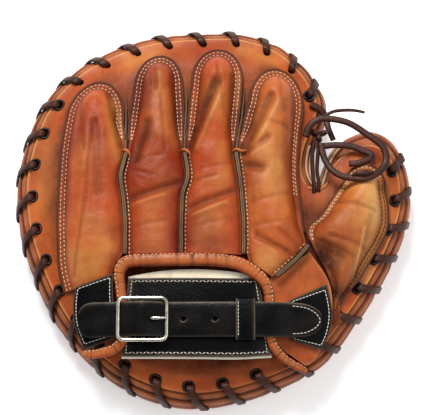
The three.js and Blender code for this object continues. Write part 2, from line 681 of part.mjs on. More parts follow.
// The rolled binding round the opening over the wrist, from its left tail to its right tail.
const BINDING_ROWS = [
  { x: -90, y: -103, z: 41.5, width: 6, height: 3.6 },
  { x: -79, y: -102.6, z: 43.5, width: 7, height: 4 },
  { x: -68, y: -99, z: 46.5, width: 7, height: 4 },
  { x: -60, y: -92, z: 49, width: 7, height: 3.8 },
  { x: -60, y: -80, z: 49.2, width: 7, height: 3.4 },
  { x: -61.5, y: -68, z: 49.2, width: 7, height: 3.4 },
  { x: -63, y: -56, z: 49.4, width: 7, height: 4 },
  { x: -64, y: -47, z: 50, width: 7, height: 4.6 },
  { x: -62, y: -40, z: 50.5, width: 7, height: 5 },
  { x: -56, y: -36.6, z: 51, width: 7, height: 5 },
  { x: -40, y: -36.1, z: 52, width: 7, height: 5 },
  { x: -20, y: -36, z: 53, width: 7, height: 5 },
  { x: 0, y: -36.3, z: 53, width: 7, height: 5 },
  { x: 14, y: -38, z: 52.5, width: 7, height: 5 },
  { x: 25, y: -42.5, z: 51.5, width: 7, height: 5 },
  { x: 33, y: -49.5, z: 50.4, width: 7, height: 5 },
  { x: 37.5, y: -58, z: 49.6, width: 7, height: 4.2 },
  { x: 38.2, y: -70, z: 49, width: 7, height: 3.4 },
  { x: 38, y: -84, z: 49, width: 7, height: 3.4 },
  { x: 40, y: -94, z: 48, width: 7, height: 4 },
  { x: 46, y: -102, z: 44.8, width: 7, height: 4 },
  { x: 54, y: -108.5, z: 41.6, width: 7, height: 4 },
  { x: 66, y: -113, z: 39.8, width: 6, height: 3.6 },
];
addPiece("opening_binding", sweptBar(tablePath(BINDING_ROWS, 38), 8, towardsFloorPlane), "tan");

// The wrist band with its cream lining.

const BAND_CROWN = 51;
const bandHeight = (x) => BAND_CROWN - 4.2 * ((x + 12) / 48) ** 2;
const BAND_ROWS = [
  { x: -58, topY: -49, bottomX: -62, bottomY: -103 },
  { x: -36, topY: -49.3, bottomX: -38, bottomY: -103.6 },
  { x: -12, topY: -49.6, bottomX: -11, bottomY: -104 },
  { x: 12, topY: -49.6, bottomX: 16, bottomY: -104 },
  { x: 31, topY: -49.3, bottomX: 40, bottomY: -102.2 },
];

function bandSheet(topExtra, bottomExtra, drop) {
  const rows = tableCurve(BAND_ROWS, false)
    .resample(9)
    .map((row) => ({
      leftX: row.bottomX,
      leftY: row.bottomY - bottomExtra,
      leftZ: bandHeight(row.bottomX) - drop - 1,
      rightX: row.x,
      rightY: row.topY + topExtra,
      rightZ: bandHeight(row.x) - drop - 0.5,
      rise: 0.8,
    }));
  return stripSheet(rows, 4);
}
addPiece("wrist_band", thicken(bandSheet(0, 0, 0), 2), "black");
addPiece("wrist_band_lining", thicken(bandSheet(5.5, 4, 2 + FIT_GAP), 1.2), "cream");

// The patches that carry the strap and the buckle.
const PATCH_LEFT_ROWS = [
  { leftX: -94, leftY: -55, leftZ: 45, rightX: -68.3, rightY: -46.2, rightZ: 49, rise: 0.4 },
  { leftX: -95.5, leftY: -66, leftZ: 44.6, rightX: -68.2, rightY: -60, rightZ: 48.6, rise: 0.4 },
  { leftX: -94.5, leftY: -81, leftZ: 43.6, rightX: -66.8, rightY: -78, rightZ: 48, rise: 0.4 },
  { leftX: -87.5, leftY: -98, leftZ: 41.4, rightX: -66, rightY: -90.5, rightZ: 46.6, rise: 0.2 },
];
const PATCH_RIGHT_ROWS = [
  { leftX: 52, leftY: -65, leftZ: 48, rightX: 78, rightY: -53, rightZ: 46.2, rise: 0.3 },
  { leftX: 51, leftY: -74, leftZ: 47.6, rightX: 81.5, rightY: -72, rightZ: 45, rise: 0.3 },
  { leftX: 51.5, leftY: -84, leftZ: 47, rightX: 79.5, rightY: -86, rightZ: 44, rise: 0.3 },
  { leftX: 53, leftY: -92, leftZ: 46, rightX: 74, rightY: -98, rightZ: 43, rise: 0.2 },
];
for (const [name, rows] of [["patch_left", PATCH_LEFT_ROWS], ["patch_right", PATCH_RIGHT_ROWS]])
  addPiece(name, thicken(stripSheet(tableCurve(rows, false).resample(6), 4), LEATHER - 0.4), "black");

// The strap, from its rounded tip on the left, through buckle and keeper, to its sewn end on the right.
const STRAP_ROWS = [
  { x: -91.5, z: 47.9, half: 5 },
  { x: -89, z: 48.2, half: 9.5 },
  { x: -84, z: 49, half: 12 },
  { x: -74, z: 51, half: 12 },
  { x: -64, z: 52.5, half: 12 },
  { x: -57, z: 54.2, half: 12 },
  { x: -47.7, z: 56.4, half: 12 },
  { x: -39, z: 54.6, half: 12 },
  { x: -31.3, z: 52.6, half: 12 },
  { x: -20, z: 52.6, half: 12 },
  { x: -8, z: 53, half: 12 },
  { x: 8, z: 53.1, half: 12 },
  { x: 22, z: 53.2, half: 12 },
  { x: 34, z: 52.8, half: 12 },
  { x: 44, z: 51.9, half: 12 },
  { x: 54, z: 50, half: 12 },
  { x: 64, z: 48.9, half: 11 },
  { x: 71, z: 48.4, half: 7.5 },
  { x: 74, z: 48.2, half: 3.5 },
];

function strapGeometry() {
  const rows = tableCurve(STRAP_ROWS, false)
    .resample(30)
    .map(({ x, z, half }) => ({
      leftX: x,
      leftY: STRAP_Y + half,
      leftZ: z + STRAP_THICKNESS / 2,
      rightX: x,
      rightY: STRAP_Y - half,
      rightZ: z + STRAP_THICKNESS / 2,
      rise: 0,
    }));
  let strap = toSolid(thicken(stripSheet(rows, 2), STRAP_THICKNESS));
  for (const x of STRAP_HOLES_X) {
    const punch = new THREE.CylinderGeometry(STRAP_HOLE_RADIUS, STRAP_HOLE_RADIUS, 20, 8);
    punch.rotateX(Math.PI / 2).translate(x, STRAP_Y, 54);
    strap = strap.subtract(toSolid(punch));
  }
  return toGeometry(strap);
}
addPiece("strap", strapGeometry(), "black");

// The keeper loop round the strap.
function keeperGeometry() {
  const halfY = STRAP_WIDTH / 2 + 2.2;
  const bottomZ = 50.2;
  const topZ = 56.4;
  const shape = new THREE.Shape([
    new THREE.Vector2(-halfY, bottomZ),
    new THREE.Vector2(halfY, bottomZ),
    new THREE.Vector2(halfY, topZ - 0.8),
    new THREE.Vector2(halfY - 1.2, topZ),
    new THREE.Vector2(-halfY + 1.2, topZ),
    new THREE.Vector2(-halfY, topZ - 0.8),
  ]);
  const wall = 1.3;
  shape.holes.push(
    new THREE.Path([
      new THREE.Vector2(-halfY + wall, bottomZ + wall),
      new THREE.Vector2(-halfY + wall, topZ - wall),
      new THREE.Vector2(halfY - wall, topZ - wall),
      new THREE.Vector2(halfY - wall, bottomZ + wall),
    ]),
  );
  const width = 13;
  const loop = new THREE.ExtrudeGeometry(shape, { depth: width, bevelEnabled: false });
  return loop
    .applyMatrix4(
      new THREE.Matrix4().makeBasis(
        new THREE.Vector3(0, 1, 0),
        new THREE.Vector3(0, 0, 1),
        new THREE.Vector3(1, 0, 0),
      ),
    )
    .translate(22 - width / 2, STRAP_Y, 0);
}
addPiece("keeper_loop", keeperGeometry(), "black");

// The buckle: a square frame with rounded corners, and a lower bar across its middle.

function straightBar(from, to, diameter) {
  const path = [from, to].map((point) => ({ point, width: diameter, height: diameter }));
  return sweptBar(path, 8, (step, ahead) =>
    Math.abs(ahead.z) > 0.5 ? new THREE.Vector3(1, 0, 0) : new THREE.Vector3(-ahead.y, ahead.x, 0),
  );
}

function buckleFrameGeometry() {
  const halfX = (BUCKLE_WIDTH - BUCKLE_WIRE) / 2;
  const halfY = (BUCKLE_HEIGHT - BUCKLE_WIRE) / 2;
  const corner = 2.6;
  const ring = [];
  for (const [sideX, sideY, start] of [[1, 1, 0], [-1, 1, 1], [-1, -1, 2], [1, -1, 3]])
    for (const step of [0, 0.5, 1]) {
      const angle = ((start + step) * Math.PI) / 2;
      ring.push(
        new THREE.Vector3(
          BUCKLE_X + sideX * (halfX - corner) + corner * Math.cos(angle),
          STRAP_Y + sideY * (halfY - corner) + corner * Math.sin(angle),
          BUCKLE_Z,
        ),
      );
    }
  const sides = 8;
  const points = [];
  const indices = [];
  ring.forEach((point, i) => {
    const before = ring[(i + ring.length - 1) % ring.length];
    const after = ring[(i + 1) % ring.length];
    const ahead = after.clone().sub(before).normalize();
    const outward = new THREE.Vector3(ahead.y, -ahead.x, 0);
    for (let j = 0; j < sides; j++) {
      const angle = (2 * Math.PI * (j + 0.5)) / sides;
      points.push(
        point
          .clone()
          .addScaledVector(outward, (Math.cos(angle) * BUCKLE_WIRE) / 2)
          .add(new THREE.Vector3(0, 0, (Math.sin(angle) * BUCKLE_WIRE) / 2)),
      );
      const nextRing = ((i + 1) % ring.length) * sides;
      const next = (j + 1) % sides;
      pushQuad(indices, i * sides + j, nextRing + j, nextRing + next, i * sides + next);
    }
  });
  let buckle = toSolid(geometryOf(points, indices));
  const low = new THREE.Vector3(BUCKLE_X, STRAP_Y - halfY, CENTRE_BAR_Z);
  const high = new THREE.Vector3(BUCKLE_X, STRAP_Y + halfY, CENTRE_BAR_Z);
  buckle = buckle.add(toSolid(straightBar(low, high, CENTRE_BAR_WIRE)));
  for (const foot of [low, high]) {
    const from = foot.clone().setZ(CENTRE_BAR_Z - CENTRE_BAR_WIRE / 2);
    buckle = buckle.add(toSolid(straightBar(from, foot.clone().setZ(BUCKLE_Z), CENTRE_BAR_WIRE)));
  }
  return toGeometry(buckle);
}
addPiece("buckle_frame", buckleFrameGeometry(), "nickel");

// The tab that holds the buckle: a leather loop round the centre bar, whose two ends lie on the band.
function buckleTabGeometry() {
  const inner = CENTRE_BAR_WIRE / 2 + FIT_GAP;
  const outer = inner + 1.1;
  const tail = 8;
  const halfTab = 7;
  const shape = new THREE.Shape();
  shape.absarc(0, 0, outer, -Math.PI / 2, Math.PI * 0.75, false);
  shape.lineTo(-tail, 1.1 - outer);
  shape.lineTo(-tail, -outer);
  shape.closePath();
  const hole = new THREE.Path();
  hole.absarc(0, 0, inner, 0, Math.PI * 2, true);
  shape.holes.push(hole);
  const tab = new THREE.ExtrudeGeometry(shape, { depth: 2 * halfTab, bevelEnabled: false, curveSegments: 6 });
  return tab.rotateX(Math.PI / 2).translate(BUCKLE_X, STRAP_Y + halfTab, CENTRE_BAR_Z);
}
addPiece("buckle_tab", buckleTabGeometry(), "black");

// The prong leans on the bar's right side, comes up through the strap's hole and ends on the right bar.
const PRONG_ROWS = [
  { x: -44, y: STRAP_Y, z: 51.6, width: 1.9, height: 1.5 },
  { x: -42.2, y: STRAP_Y, z: 53.2, width: 1.9, height: 1.7 },
  { x: -41.6, y: STRAP_Y, z: 57.4, width: 1.9, height: 1.7 },
  { x: -38.5, y: STRAP_Y, z: 58, width: 1.9, height: 1.7 },
  { x: -30.8, y: STRAP_Y, z: 57.8, width: 1.5, height: 1.3 },
];
addPiece("buckle_prong", sweptBar(tablePath(PRONG_ROWS, 9), 6, () => new THREE.Vector3(0, 1, 0)), "nickel");

// Free laces at the web, as points of their centre lines.
const SIDE_LACE_ROWS = [
  { x: 69, y: 80, z: 34.5, width: 5, height: 2.4 },
  { x: 74, y: 78, z: 33.7, width: 5, height: 2.4 },
  { x: 78.5, y: 74, z: 31.6, width: 5, height: 2.4 },
  { x: 80.5, y: 68.5, z: 31.6, width: 4.6, height: 2.4 },
  { x: 82, y: 62, z: 32.4, width: 4, height: 2.4 },
  { x: 85, y: 54, z: 33.2, width: 4, height: 2.4 },
];
const CROSS_LACE_ROWS = [
  { x: 78, y: 48, z: 38, width: 4.6, height: 2.6 },
  { x: 87, y: 48.6, z: 38.6, width: 4.6, height: 2.6 },
  { x: 97, y: 47.5, z: 39, width: 4.6, height: 2.6 },
  { x: 106, y: 43.8, z: 39.6, width: 4.6, height: 2.6 },
  { x: 111.5, y: 40.5, z: 40.4, width: 4.2, height: 2.6 },
  { x: 108, y: 37, z: 41.6, width: 4.6, height: 2.6 },
  { x: 101, y: 34.4, z: 41.8, width: 4.6, height: 2.6 },
  { x: 95, y: 34, z: 41, width: 4.6, height: 2.6 },
];
const LOOP_LACE_ROWS = [
  { x: 64.4, y: 52.5, z: 45.6, width: 4.6, height: 3 },
  { x: 67.6, y: 60, z: 46.6, width: 4.6, height: 3 },
  { x: 74.5, y: 65, z: 47, width: 4.6, height: 3 },
  { x: 85.4, y: 64.6, z: 47.5, width: 4.6, height: 3 },
  { x: 96.6, y: 61, z: 48, width: 4.6, height: 3 },
  { x: 108, y: 53, z: 48.5, width: 4.8, height: 3 },
  { x: 117, y: 46, z: 48.5, width: 5, height: 3 },
  { x: 120.5, y: 38.5, z: 48.6, width: 5, height: 3 },
  { x: 119.4, y: 31, z: 49, width: 5, height: 3 },
  { x: 113.4, y: 24.3, z: 51, width: 5, height: 3 },
  { x: 105.7, y: 20.3, z: 53, width: 5, height: 3 },
  { x: 98.7, y: 20.4, z: 52.5, width: 5, height: 3 },
  { x: 90, y: 22.6, z: 49.5, width: 4.6, height: 3 },
  { x: 83.3, y: 27.5, z: 46.5, width: 4.6, height: 3 },
  { x: 79, y: 34, z: 45, width: 4.6, height: 3 },
  { x: 76.6, y: 41, z: 44.4, width: 4.6, height: 3 },
  { x: 75.6, y: 48, z: 44, width: 4.6, height: 3 },
];
const TAIL_LACE_ROWS = [
  { x: 78, y: 67.8, z: 45.2, width: 2.4, height: 1.8 },
  { x: 85, y: 71.4, z: 44.6, width: 2.4, height: 1.8 },
  { x: 94, y: 73.2, z: 42, width: 2.4, height: 1.8 },
  { x: 101, y: 73.6, z: 39.6, width: 2.2, height: 1.6 },
  { x: 107, y: 73, z: 37.6, width: 2, height: 1.4 },
];
const POST_LACE_ROWS = [
  { x: 71.6, y: 52, z: 39.6, width: 5, height: 3 },
  { x: 71.4, y: 42, z: 38, width: 5, height: 3 },
  { x: 71.2, y: 30, z: 36, width: 5, height: 3 },
  { x: 70.9, y: 18, z: 36.4, width: 5, height: 3 },
  { x: 70.6, y: 13, z: 36.8, width: 5, height: 3 },
];
for (const [name, rows, steps] of [
  ["web_lace_side", SIDE_LACE_ROWS, 9],
  ["web_lace_cross", CROSS_LACE_ROWS, 13],
  ["web_lace_loop", LOOP_LACE_ROWS, 25],
  ["web_lace_tail", TAIL_LACE_ROWS, 7],
  ["web_lace_post", POST_LACE_ROWS, 6],
])
  addPiece(name, sweptBar(tablePath(rows, steps), 6, towardsFloorPlane), "darkLace");

// The knot that ties them at the index finger's side.
const knot = new THREE.SphereGeometry(1, 10, 7).scale(4.6, 3.2, 4).translate(74.6, 55.4, 40.4);
knot.deleteAttribute("normal");
knot.deleteAttribute("uv");
addPiece("web_knot", mergePoints(knot), "darkLace");

// The origin goes under the middle of the outline.
const mittBox = new THREE.Box3().setFromObject(mitt);
const middle = mittBox.getCenter(new THREE.Vector3());
mitt.position.set(-middle.x, -middle.y, -mittBox.min.z);

const root = new THREE.Group();
root.add(mitt);
export default root;
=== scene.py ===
"""A left-hand catcher's mitt lying palm down on a pale floor, dressed for its picture.

Shapes are worked out in millimetres, in the frame of the tables below. finish_piece puts them in their place,
in metres.
"""

import logging
import math
from dataclasses import dataclass, field
from enum import Enum
from typing import Callable, Sequence

import bmesh
import bpy
import numpy as np
from mathutils import Matrix, Vector, noise


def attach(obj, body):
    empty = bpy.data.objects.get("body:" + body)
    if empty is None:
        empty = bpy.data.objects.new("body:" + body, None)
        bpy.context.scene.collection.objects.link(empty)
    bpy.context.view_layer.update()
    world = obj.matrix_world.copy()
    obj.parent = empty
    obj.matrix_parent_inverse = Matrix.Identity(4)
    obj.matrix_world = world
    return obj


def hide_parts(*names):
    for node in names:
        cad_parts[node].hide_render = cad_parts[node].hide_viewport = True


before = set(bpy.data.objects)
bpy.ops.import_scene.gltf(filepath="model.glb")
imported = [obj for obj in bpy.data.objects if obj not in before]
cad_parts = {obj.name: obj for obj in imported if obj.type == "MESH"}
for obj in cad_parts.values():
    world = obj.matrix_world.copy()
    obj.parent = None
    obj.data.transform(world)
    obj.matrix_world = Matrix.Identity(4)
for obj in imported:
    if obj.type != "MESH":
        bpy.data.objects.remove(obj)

LOG = logging.getLogger("mitt")
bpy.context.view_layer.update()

MILLIMETRE = 0.001
TABLE_SHIFT = Vector((-0.62, -2.35, 0.0))  # from the tables' frame to the part's
LEATHER = 2.0  # thickness of the leathers on the back
FIT_GAP = 0.6  # left between neighbouring pieces
EDGE_ROUNDING = 0.35  # the most that a cut edge is rounded
SHARP_ANGLE = 55  # in degrees, for edges that are rounded
BACK_EDGE_HEIGHT = 32.0  # top of the back panel at its seam with the rim
BACK_RISE = 8.0  # how much higher it is at the hand
BACK_RISE_WIDTH = 26.0  # how wide the slope up to there is
HEM = 4.8  # width of a stall's stitched hem
HOLE_INSET = 4.5  # from the back panel's edge to a lace hole's centre
SEAM_HALF_GAP = 0.9  # from a seam over the hand to the leather beside it
STITCH_PITCH = 3.0
STRAP_Y = -79.0  # the strap's middle line
ALONG_X = np.array([1.0, 0.0, 0.0])
ALONG_Y = np.array([0.0, 1.0, 0.0])

RIM_COLUMNS = ("x", "y", "core_x", "core_y", "hole_x", "hole_y", "seam")
RIM_ROWS = (
    (74, 25, 62, -20, 66, -17, 8),
    (70, 33, 30, -5, 58, 0, 8),
    (71, 46, 28, 5, 56, 35, 8),
    (76, 60, 27, 14, 57, 56, 8),
    (81, 76, 25, 25, 58, 72, 8),
    (79, 92, 22, 32, 56, 86, 8),
    (66, 113, 16, 40, 51, 95, 8),
    (47, 129, 9, 47, 40, 97, 8),
    (22, 137.5, 1, 52, 21, 66, 8),
    (1, 138.5, -8, 55, 2, 111, 8),
    (-18, 137.5, -16, 57, -18, 66, 8),
    (-39, 135.5, -25, 57, -39, 106, 8),
    (-60, 130, -34, 56, -60, 64, 8),
    (-82, 120.5, -43, 53, -79, 86, 8),
    (-101, 108, -52, 48, -92, 79, 8),
    (-119, 88, -60, 41, -98, 66, 8),
    (-132, 59, -66, 30, -101, 45, 8),
    (-138.5, 25, -70, 14, -102, 20, 8),
    (-136, -8, -71, -3, -102, -8, 8),
    (-126, -40, -69, -19, -100, -34, 8),
    (-108, -76, -61, -33, -90, -58, 8),
    (-84, -104, -50, -44, -72, -82, 8),
    (-54, -124, -36, -52, -50, -96, 8),
    (-20, -133.5, -18, -56, -20, -98, 8),
    (14, -130.5, 0, -57, 12, -97, 8),
    (48, -119, 20, -54, 38, -92, 8),
    (76, -103.5, 42, -48, 60, -80, 8),
    (98, -77, 62, -42, 82, -64, 8),
    (116, -50, 80, -31, 99, -43, 8),
    (131, -20.5, 93, -16, 115, -20, 8),
    (139, 6, 99, -4, 119, 0, 8),
    (138, 34, 101, 5, 117, 14, 9),
    (129, 56, 100, 11, 110, 24, 13),
    (114, 65, 96, 13, 103, 26, 15),
    (98, 61, 89, 9, 97, 18, 13),
    (85, 50, 80, 2, 88, 8, 10),
    (78.5, 38, 71, -8, 78, -5, 8),
)
LACE_TURNS = 31
LACE_FIRST_ROW = 5.1
LACE_LAST_ROW = 31.1

SEAM_COLUMNS = ("y", "little_ring", "ring_middle", "middle_index", "lift", "crown")
SEAM_ROWS = (
    (-33.6, -60.2, -21.7, 21, 8, 12),
    (-12, -60.2, -21.7, 21, 8, 12.5),
    (8, -62, -21, 19.8, 8, 13),
    (22, -63.7, -17.5, 18.5, 8, 13.5),
    (40, -60.2, -19.6, 16, 5, 14),
)

# Soft strokes on the leather, each from x0, y0 to x1, y1 with an amount and a width.
# Folds: the amount is the depth, and a negative one makes a ridge.
FURROWS = (
    (-60, 4, -23, 17, 2.4, 2.8),
    (-56, 1, -34, 8, -0.9, 2.0),
    (-18, -2, 15, 11, 2.4, 2.8),
    (-14, -6, 10, 3, -0.9, 2.0),
    (-73, 84, -64, 44, 3.4, 2.4),
    (-82, 60, -79, 10, 1.4, 3.4),
    (-46, 60, -54, 34, 3.2, 3.2),
    (-28, 96, -24, 52, 2.4, 2.2),
    (-41, 100, -40, 86, 1.4, 1.4),
    (-44, 97, -44, 88, 1.2, 1.2),
    (-18, 44, 2, 90, 3.8, 3.4),
    (-12, 42, 6, 82, -1.0, 2.2),
    (14, 96, 15, 46, 2.8, 2.0),
    (21, 40, 40, 80, 3.6, 3.2),
    (27, 38, 46, 76, -1.0, 2.4),
    (20, 30, 33, 27, 3, 3),
    (22, 38, 38, 49, 2.2, 2.2),
    (57, 88, 56, 46, 1.4, 2.2),
    (72, -28, 84, -34, 4.6, 6),
    (74, -34, 86, -60, 2.4, 4.4),
    (30, -20, 52, -34, 1.6, 2.4),
    (46, -18, 58, -28, 1.2, 1.8),
)
# Finer wrinkles, with depths and ridges in the same way.
WRINKLES = (
    (-82, 62, -85.5, 37.6, 0.6, 1.2),
    (-85.7, 35.4, -87.6, 8.7, 0.9, 1.1),
    (-87.9, 6.4, -91.8, -18.9, 1.0, 1.1),
    (-92.1, -21.2, -95, -47, 0.9, 1.2),
    (-93, 88, -90, 40, 0.7, 1.3),
    (-52, -14, -30, -9, 0.35, 1.5),
    (-50, 34, -30, 38, 0.3, 1.3),
    (-56, 26, -42, 22, 0.6, 1.2),
    (-36, 80, -33, 40, 0.7, 1.3),
    (-12, -14, 13, -8, 0.3, 1.5),
    (-10, 26, 12, 31, 0.35, 1.3),
    (-14, 18, 2, 22, 0.6, 1.2),
    (3, 104, 8, 70, 0.7, 1.4),
    (24, 2, 52, 10, 0.5, 1.7),
    (27, -14, 55, -9, 0.4, 1.5),
    (30, -22, 50, -31, 0.7, 1.4),
    (38, 62, 52, 58, 0.7, 1.5),
    (46, 96, 50, 70, 0.8, 1.4),
    (-70, 82, -60.5, 46, -1.1, 1.4),
    (104.5, -14, 93, -62, -1.1, 0.7),
    (108.5, -6, 96, -60, 0.7, 1.4),
    (84, 6, 112, -2, 0.8, 1.5),
    (80, -20, 106, -28, 0.8, 1.6),
    (72, -22, 96, -34, 0.7, 1.5),
)
# Painted shade: darker places in folds, dents and valleys.
SHADES = (
    (73, -30, 82, -36, 0.9, 8),
    (80, -40, 86, -58, 0.5, 6),
    (-46, 56, -45, 52, 0.45, 4),
    (-46, 90, -50, 74, 0.3, 6),
    (-47, 50, -54, 32, 0.4, 4),
    (26, 76, 20, 42, 0.6, 6),
    (2, 92, -15, 44, 0.45, 4.5),
    (66, 6, 74, -6, 0.55, 9),
    (-62, 60, -62, 20, 0.25, 4),
    (-20, 60, -20, 10, 0.25, 4),
    (-20, -24, 12, -26, 0.2, 5),
    (56, 40, 58, -14, 0.2, 4),
)
# Painted highlights: lighter and yellower places.
GLOWS = (
    (110, 14, 112, -6, 0.75, 11),
    (40, 40, 42, 16, 0.4, 9),
    (38, -36, 44, -42, 0.5, 7),
    (-93, -34, -92, -46, 0.5, 10),
    (-73, -30, -80, -42, 0.45, 7),
    (-73, 76, -66, 36, 0.5, 4),
    (-37, 80, -35, 56, 0.4, 7),
    (-58, 112, -46, 116, 0.4, 9),
    (20, 122, 40, 116, 0.4, 8),
    (108, -26, 104, -44, 0.5, 7),
    (-116, 50, -118, 10, 0.3, 8),
    (4, 84, 6, 66, 0.3, 7),
    (18, 100, 17.5, 76, 0.6, 2.6),
    (-24, 60, -26, 44, 0.25, 5),
    (6, 40, 8, 24, 0.25, 7),
    (-42, 2, -40, -20, 0.25, 8),
    (60, -60, 72, -76, 0.3, 10),
)


def clamp01(values: np.ndarray) -> np.ndarray:
    """Limits values to the range from 0 to 1."""
    return np.clip(values, 0.0, 1.0)


def smooth_step(values: np.ndarray) -> np.ndarray:
    """Eases values from 0 to 1."""
    inside = clamp01(values)
    return inside * inside * (3 - 2 * inside)


def soft_limit(values: np.ndarray) -> np.ndarray:
    """Eases amounts from 0 upwards, so that where several meet they stay below 1."""
    return 1 - np.exp(-1.2 * np.maximum(values, 0))


def mix(start: np.ndarray, end: np.ndarray, share: np.ndarray) -> np.ndarray:
    """Goes from start to end by share."""
    return start + (end - start) * share


def bell(distance: np.ndarray, width: float) -> np.ndarray:
    """Falls softly from 1, where the distance is 0, to nothing at about twice the width."""
    return np.exp(-((distance / width) ** 2))


def unit(vectors: np.ndarray) -> np.ndarray:
    """Brings vectors to a length of 1."""
    return vectors / np.linalg.norm(vectors, axis=-1, keepdims=True)


@dataclass(frozen=True)
class Course:
    """A table whose rows are read as one smooth curve through every column.

    The rows are passed at equal steps of the share, which goes from 0 to 1.
    """

    columns: tuple[str, ...]
    rows: tuple[tuple[float, ...], ...]
    closed: bool = False

    def values(self, shares: np.ndarray) -> np.ndarray:
        """Reads every column at each share.

        Args:
            shares: Places along the table, from 0 to 1.

        Returns:
            One row of values for each share.
        """
        table = np.array(self.rows, dtype=float)
        count = len(table)
        shares = np.asarray(shares, dtype=float)
        if self.closed:
            place = shares * count
            step = np.floor(place).astype(int)
            a, b, c, d = (table[(step + k) % count] for k in (-1, 0, 1, 2))
        else:
            padded = np.vstack([2 * table[0] - table[1], table, 2 * table[-1] - table[-2]])
            place = shares * (count - 1)
            step = np.clip(np.floor(place).astype(int), 0, count - 2)
            a, b, c, d = (padded[step + k] for k in (0, 1, 2, 3))
        t = (place - step)[..., None]
        rise_b = (c - a) / 2
        rise_c = (d - b) / 2
        return (
            b
            + t * rise_b
            + t**2 * (3 * (c - b) - 2 * rise_b - rise_c)
            + t**3 * (2 * (b - c) + rise_b + rise_c)
        )

    def at(self, shares: np.ndarray) -> dict[str, np.ndarray]:
        """Reads every column at each share, by name.

        Args:
            shares: Places along the table, from 0 to 1.

        Returns:
            Each column's values.
        """
        values = self.values(shares)
        return {name: values[..., i] for i, name in enumerate(self.columns)}


def distance_to_segment(
    x: np.ndarray, y: np.ndarray, start: tuple[float, float], end: tuple[float, float]
) -> np.ndarray:
    """Measures how far points lie from a segment in plan.

    Args:
        x: The points' x.
        y: The points' y.
        start: The segment's first point.
        end: The segment's last point.

    Returns:
        The distances in millimetres.
    """
    dx = end[0] - start[0]
    dy = end[1] - start[1]
    share = clamp01(((x - start[0]) * dx + (y - start[1]) * dy) / (dx * dx + dy * dy))
    return np.hypot(x - start[0] - share * dx, y - start[1] - share * dy)


@dataclass
class RimPlaces:
    """Places along the rim's widest line, with the table's columns at each."""

    row: dict[str, np.ndarray]
    aim: np.ndarray  # the way inwards
    along: np.ndarray
    turn: np.ndarray  # lace turns passed, with a fraction

    def at(self, inset: np.ndarray, z: np.ndarray) -> np.ndarray:
        """Gives points beside the widest line.

        Args:
            inset: How far inwards each point lies.
            z: The points' heights.

        Returns:
            The points.
        """
        x = self.row["x"] + self.aim[..., 0] * inset
        y = self.row["y"] + self.aim[..., 1] * inset
        return np.stack([x, y, np.broadcast_to(z, x.shape)], axis=-1)


@dataclass
class MittForm:
    """The mitt's outline by arc length, and the heights of its back."""

    samples: int = 1200
    outline_segments: int = 220
    inward_weight: float = 1.2  # how much square to the rim counts against the way to the core
    wrist_dip: float = 4.5

    def __post_init__(self) -> None:
        """Measures the outline."""
        self.course = Course(RIM_COLUMNS, RIM_ROWS, closed=True)
        self.shares = np.linspace(0, 1, self.samples + 1)
        points = self.course.values(self.shares)[:, :2]
        steps = np.hypot(*np.diff(points, axis=0).T)
        self.lengths = np.concatenate([[0], np.cumsum(steps)])
        self.length = float(self.lengths[-1])
        self.outline = self.course.values(np.linspace(0, 1, self.outline_segments + 1))[:, :2]
        self.lace_start = self.row_length(LACE_FIRST_ROW)
        self.lace_pitch = (self.row_length(LACE_LAST_ROW) - self.lace_start) / (LACE_TURNS - 1)

    def row_length(self, row: float) -> float:
        """Gives the arc length at a row of the table, which may have a fraction."""
        return float(self.lengths[round(row / len(RIM_ROWS) * self.samples)])

    def places(self, lengths: np.ndarray) -> RimPlaces:
        """Reads the rim at arc lengths.

        Args:
            lengths: The arc lengths, also below 0 or beyond the whole way round.

        Returns:
            The places there.
        """
        lengths = np.asarray(lengths, dtype=float)
        shares = np.interp(lengths % self.length, self.lengths, self.shares)
        row = self.course.at(shares)
        step = 1e-4
        after = self.course.values((shares + step) % 1)[..., :2]
        before = self.course.values((shares - step) % 1)[..., :2]
        along = unit(after - before)
        to_core = unit(np.stack([row["core_x"] - row["x"], row["core_y"] - row["y"]], axis=-1))
        inward = np.stack([-along[..., 1], along[..., 0]], axis=-1)
        aim = unit(inward * self.inward_weight + to_core)
        return RimPlaces(row, aim, along, (lengths - self.lace_start) / self.lace_pitch)

    def inset(self, x: np.ndarray, y: np.ndarray) -> np.ndarray:
        """Measures how far inside the widest line points lie.

        Args:
            x: The points' x.
            y: The points' y.

        Returns:
            The distances.
        """
        nearest = np.full(np.shape(x), np.inf)
        for start, end in zip(self.outline[:-1], self.outline[1:]):
            nearest = np.minimum(nearest, distance_to_segment(x, y, tuple(start), tuple(end)))
        return nearest

    def back_height(self, x: np.ndarray, y: np.ndarray) -> np.ndarray:
        """Gives the top of the back panel, which rises towards the hand and dips at the wrist.

        Args:
            x: The points' x.
            y: The points' y.

        Returns:
            The heights.
        """
        inset = self.inset(x, y)
        wrist = smooth_step((-66 - y) / 34) * bell(x + 10, 55)
        dip = self.wrist_dip * wrist * smooth_step((inset - 15) / 16)
        return BACK_EDGE_HEIGHT + BACK_RISE * smooth_step((inset - 7) / BACK_RISE_WIDTH) - dip


def strokes_at(x: np.ndarray, y: np.ndarray, strokes: Sequence[tuple[float, ...]]) -> np.ndarray:
    """Adds up the amounts of soft strokes at points in plan.

    Args:
        x: The points' x.
        y: The points' y.
        strokes: One of the tables of strokes.

    Returns:
        The amounts.
    """
    total = np.zeros(np.shape(x))
    for x0, y0, x1, y1, amount, width in strokes:
        total = total + amount * bell(distance_to_segment(x, y, (x0, y0), (x1, y1)), width)
    return total


def ripple(points: np.ndarray, size: float, seed: float) -> np.ndarray:
    """Gives smooth unevenness between about -1 and 1.

    Args:
        points: The points, in millimetres.
        size: The distance from one swell to the next.
        seed: Moves the pattern, so that pieces differ.

    Returns:
        One value for each point.
    """
    flat = points.reshape(-1, 3)
    shift = Vector((seed, -seed, 2 * seed))
    values = [noise.noise(Vector(p) / size + shift) for p in flat]
    return np.array(values).reshape(points.shape[:-1])


# Materials.


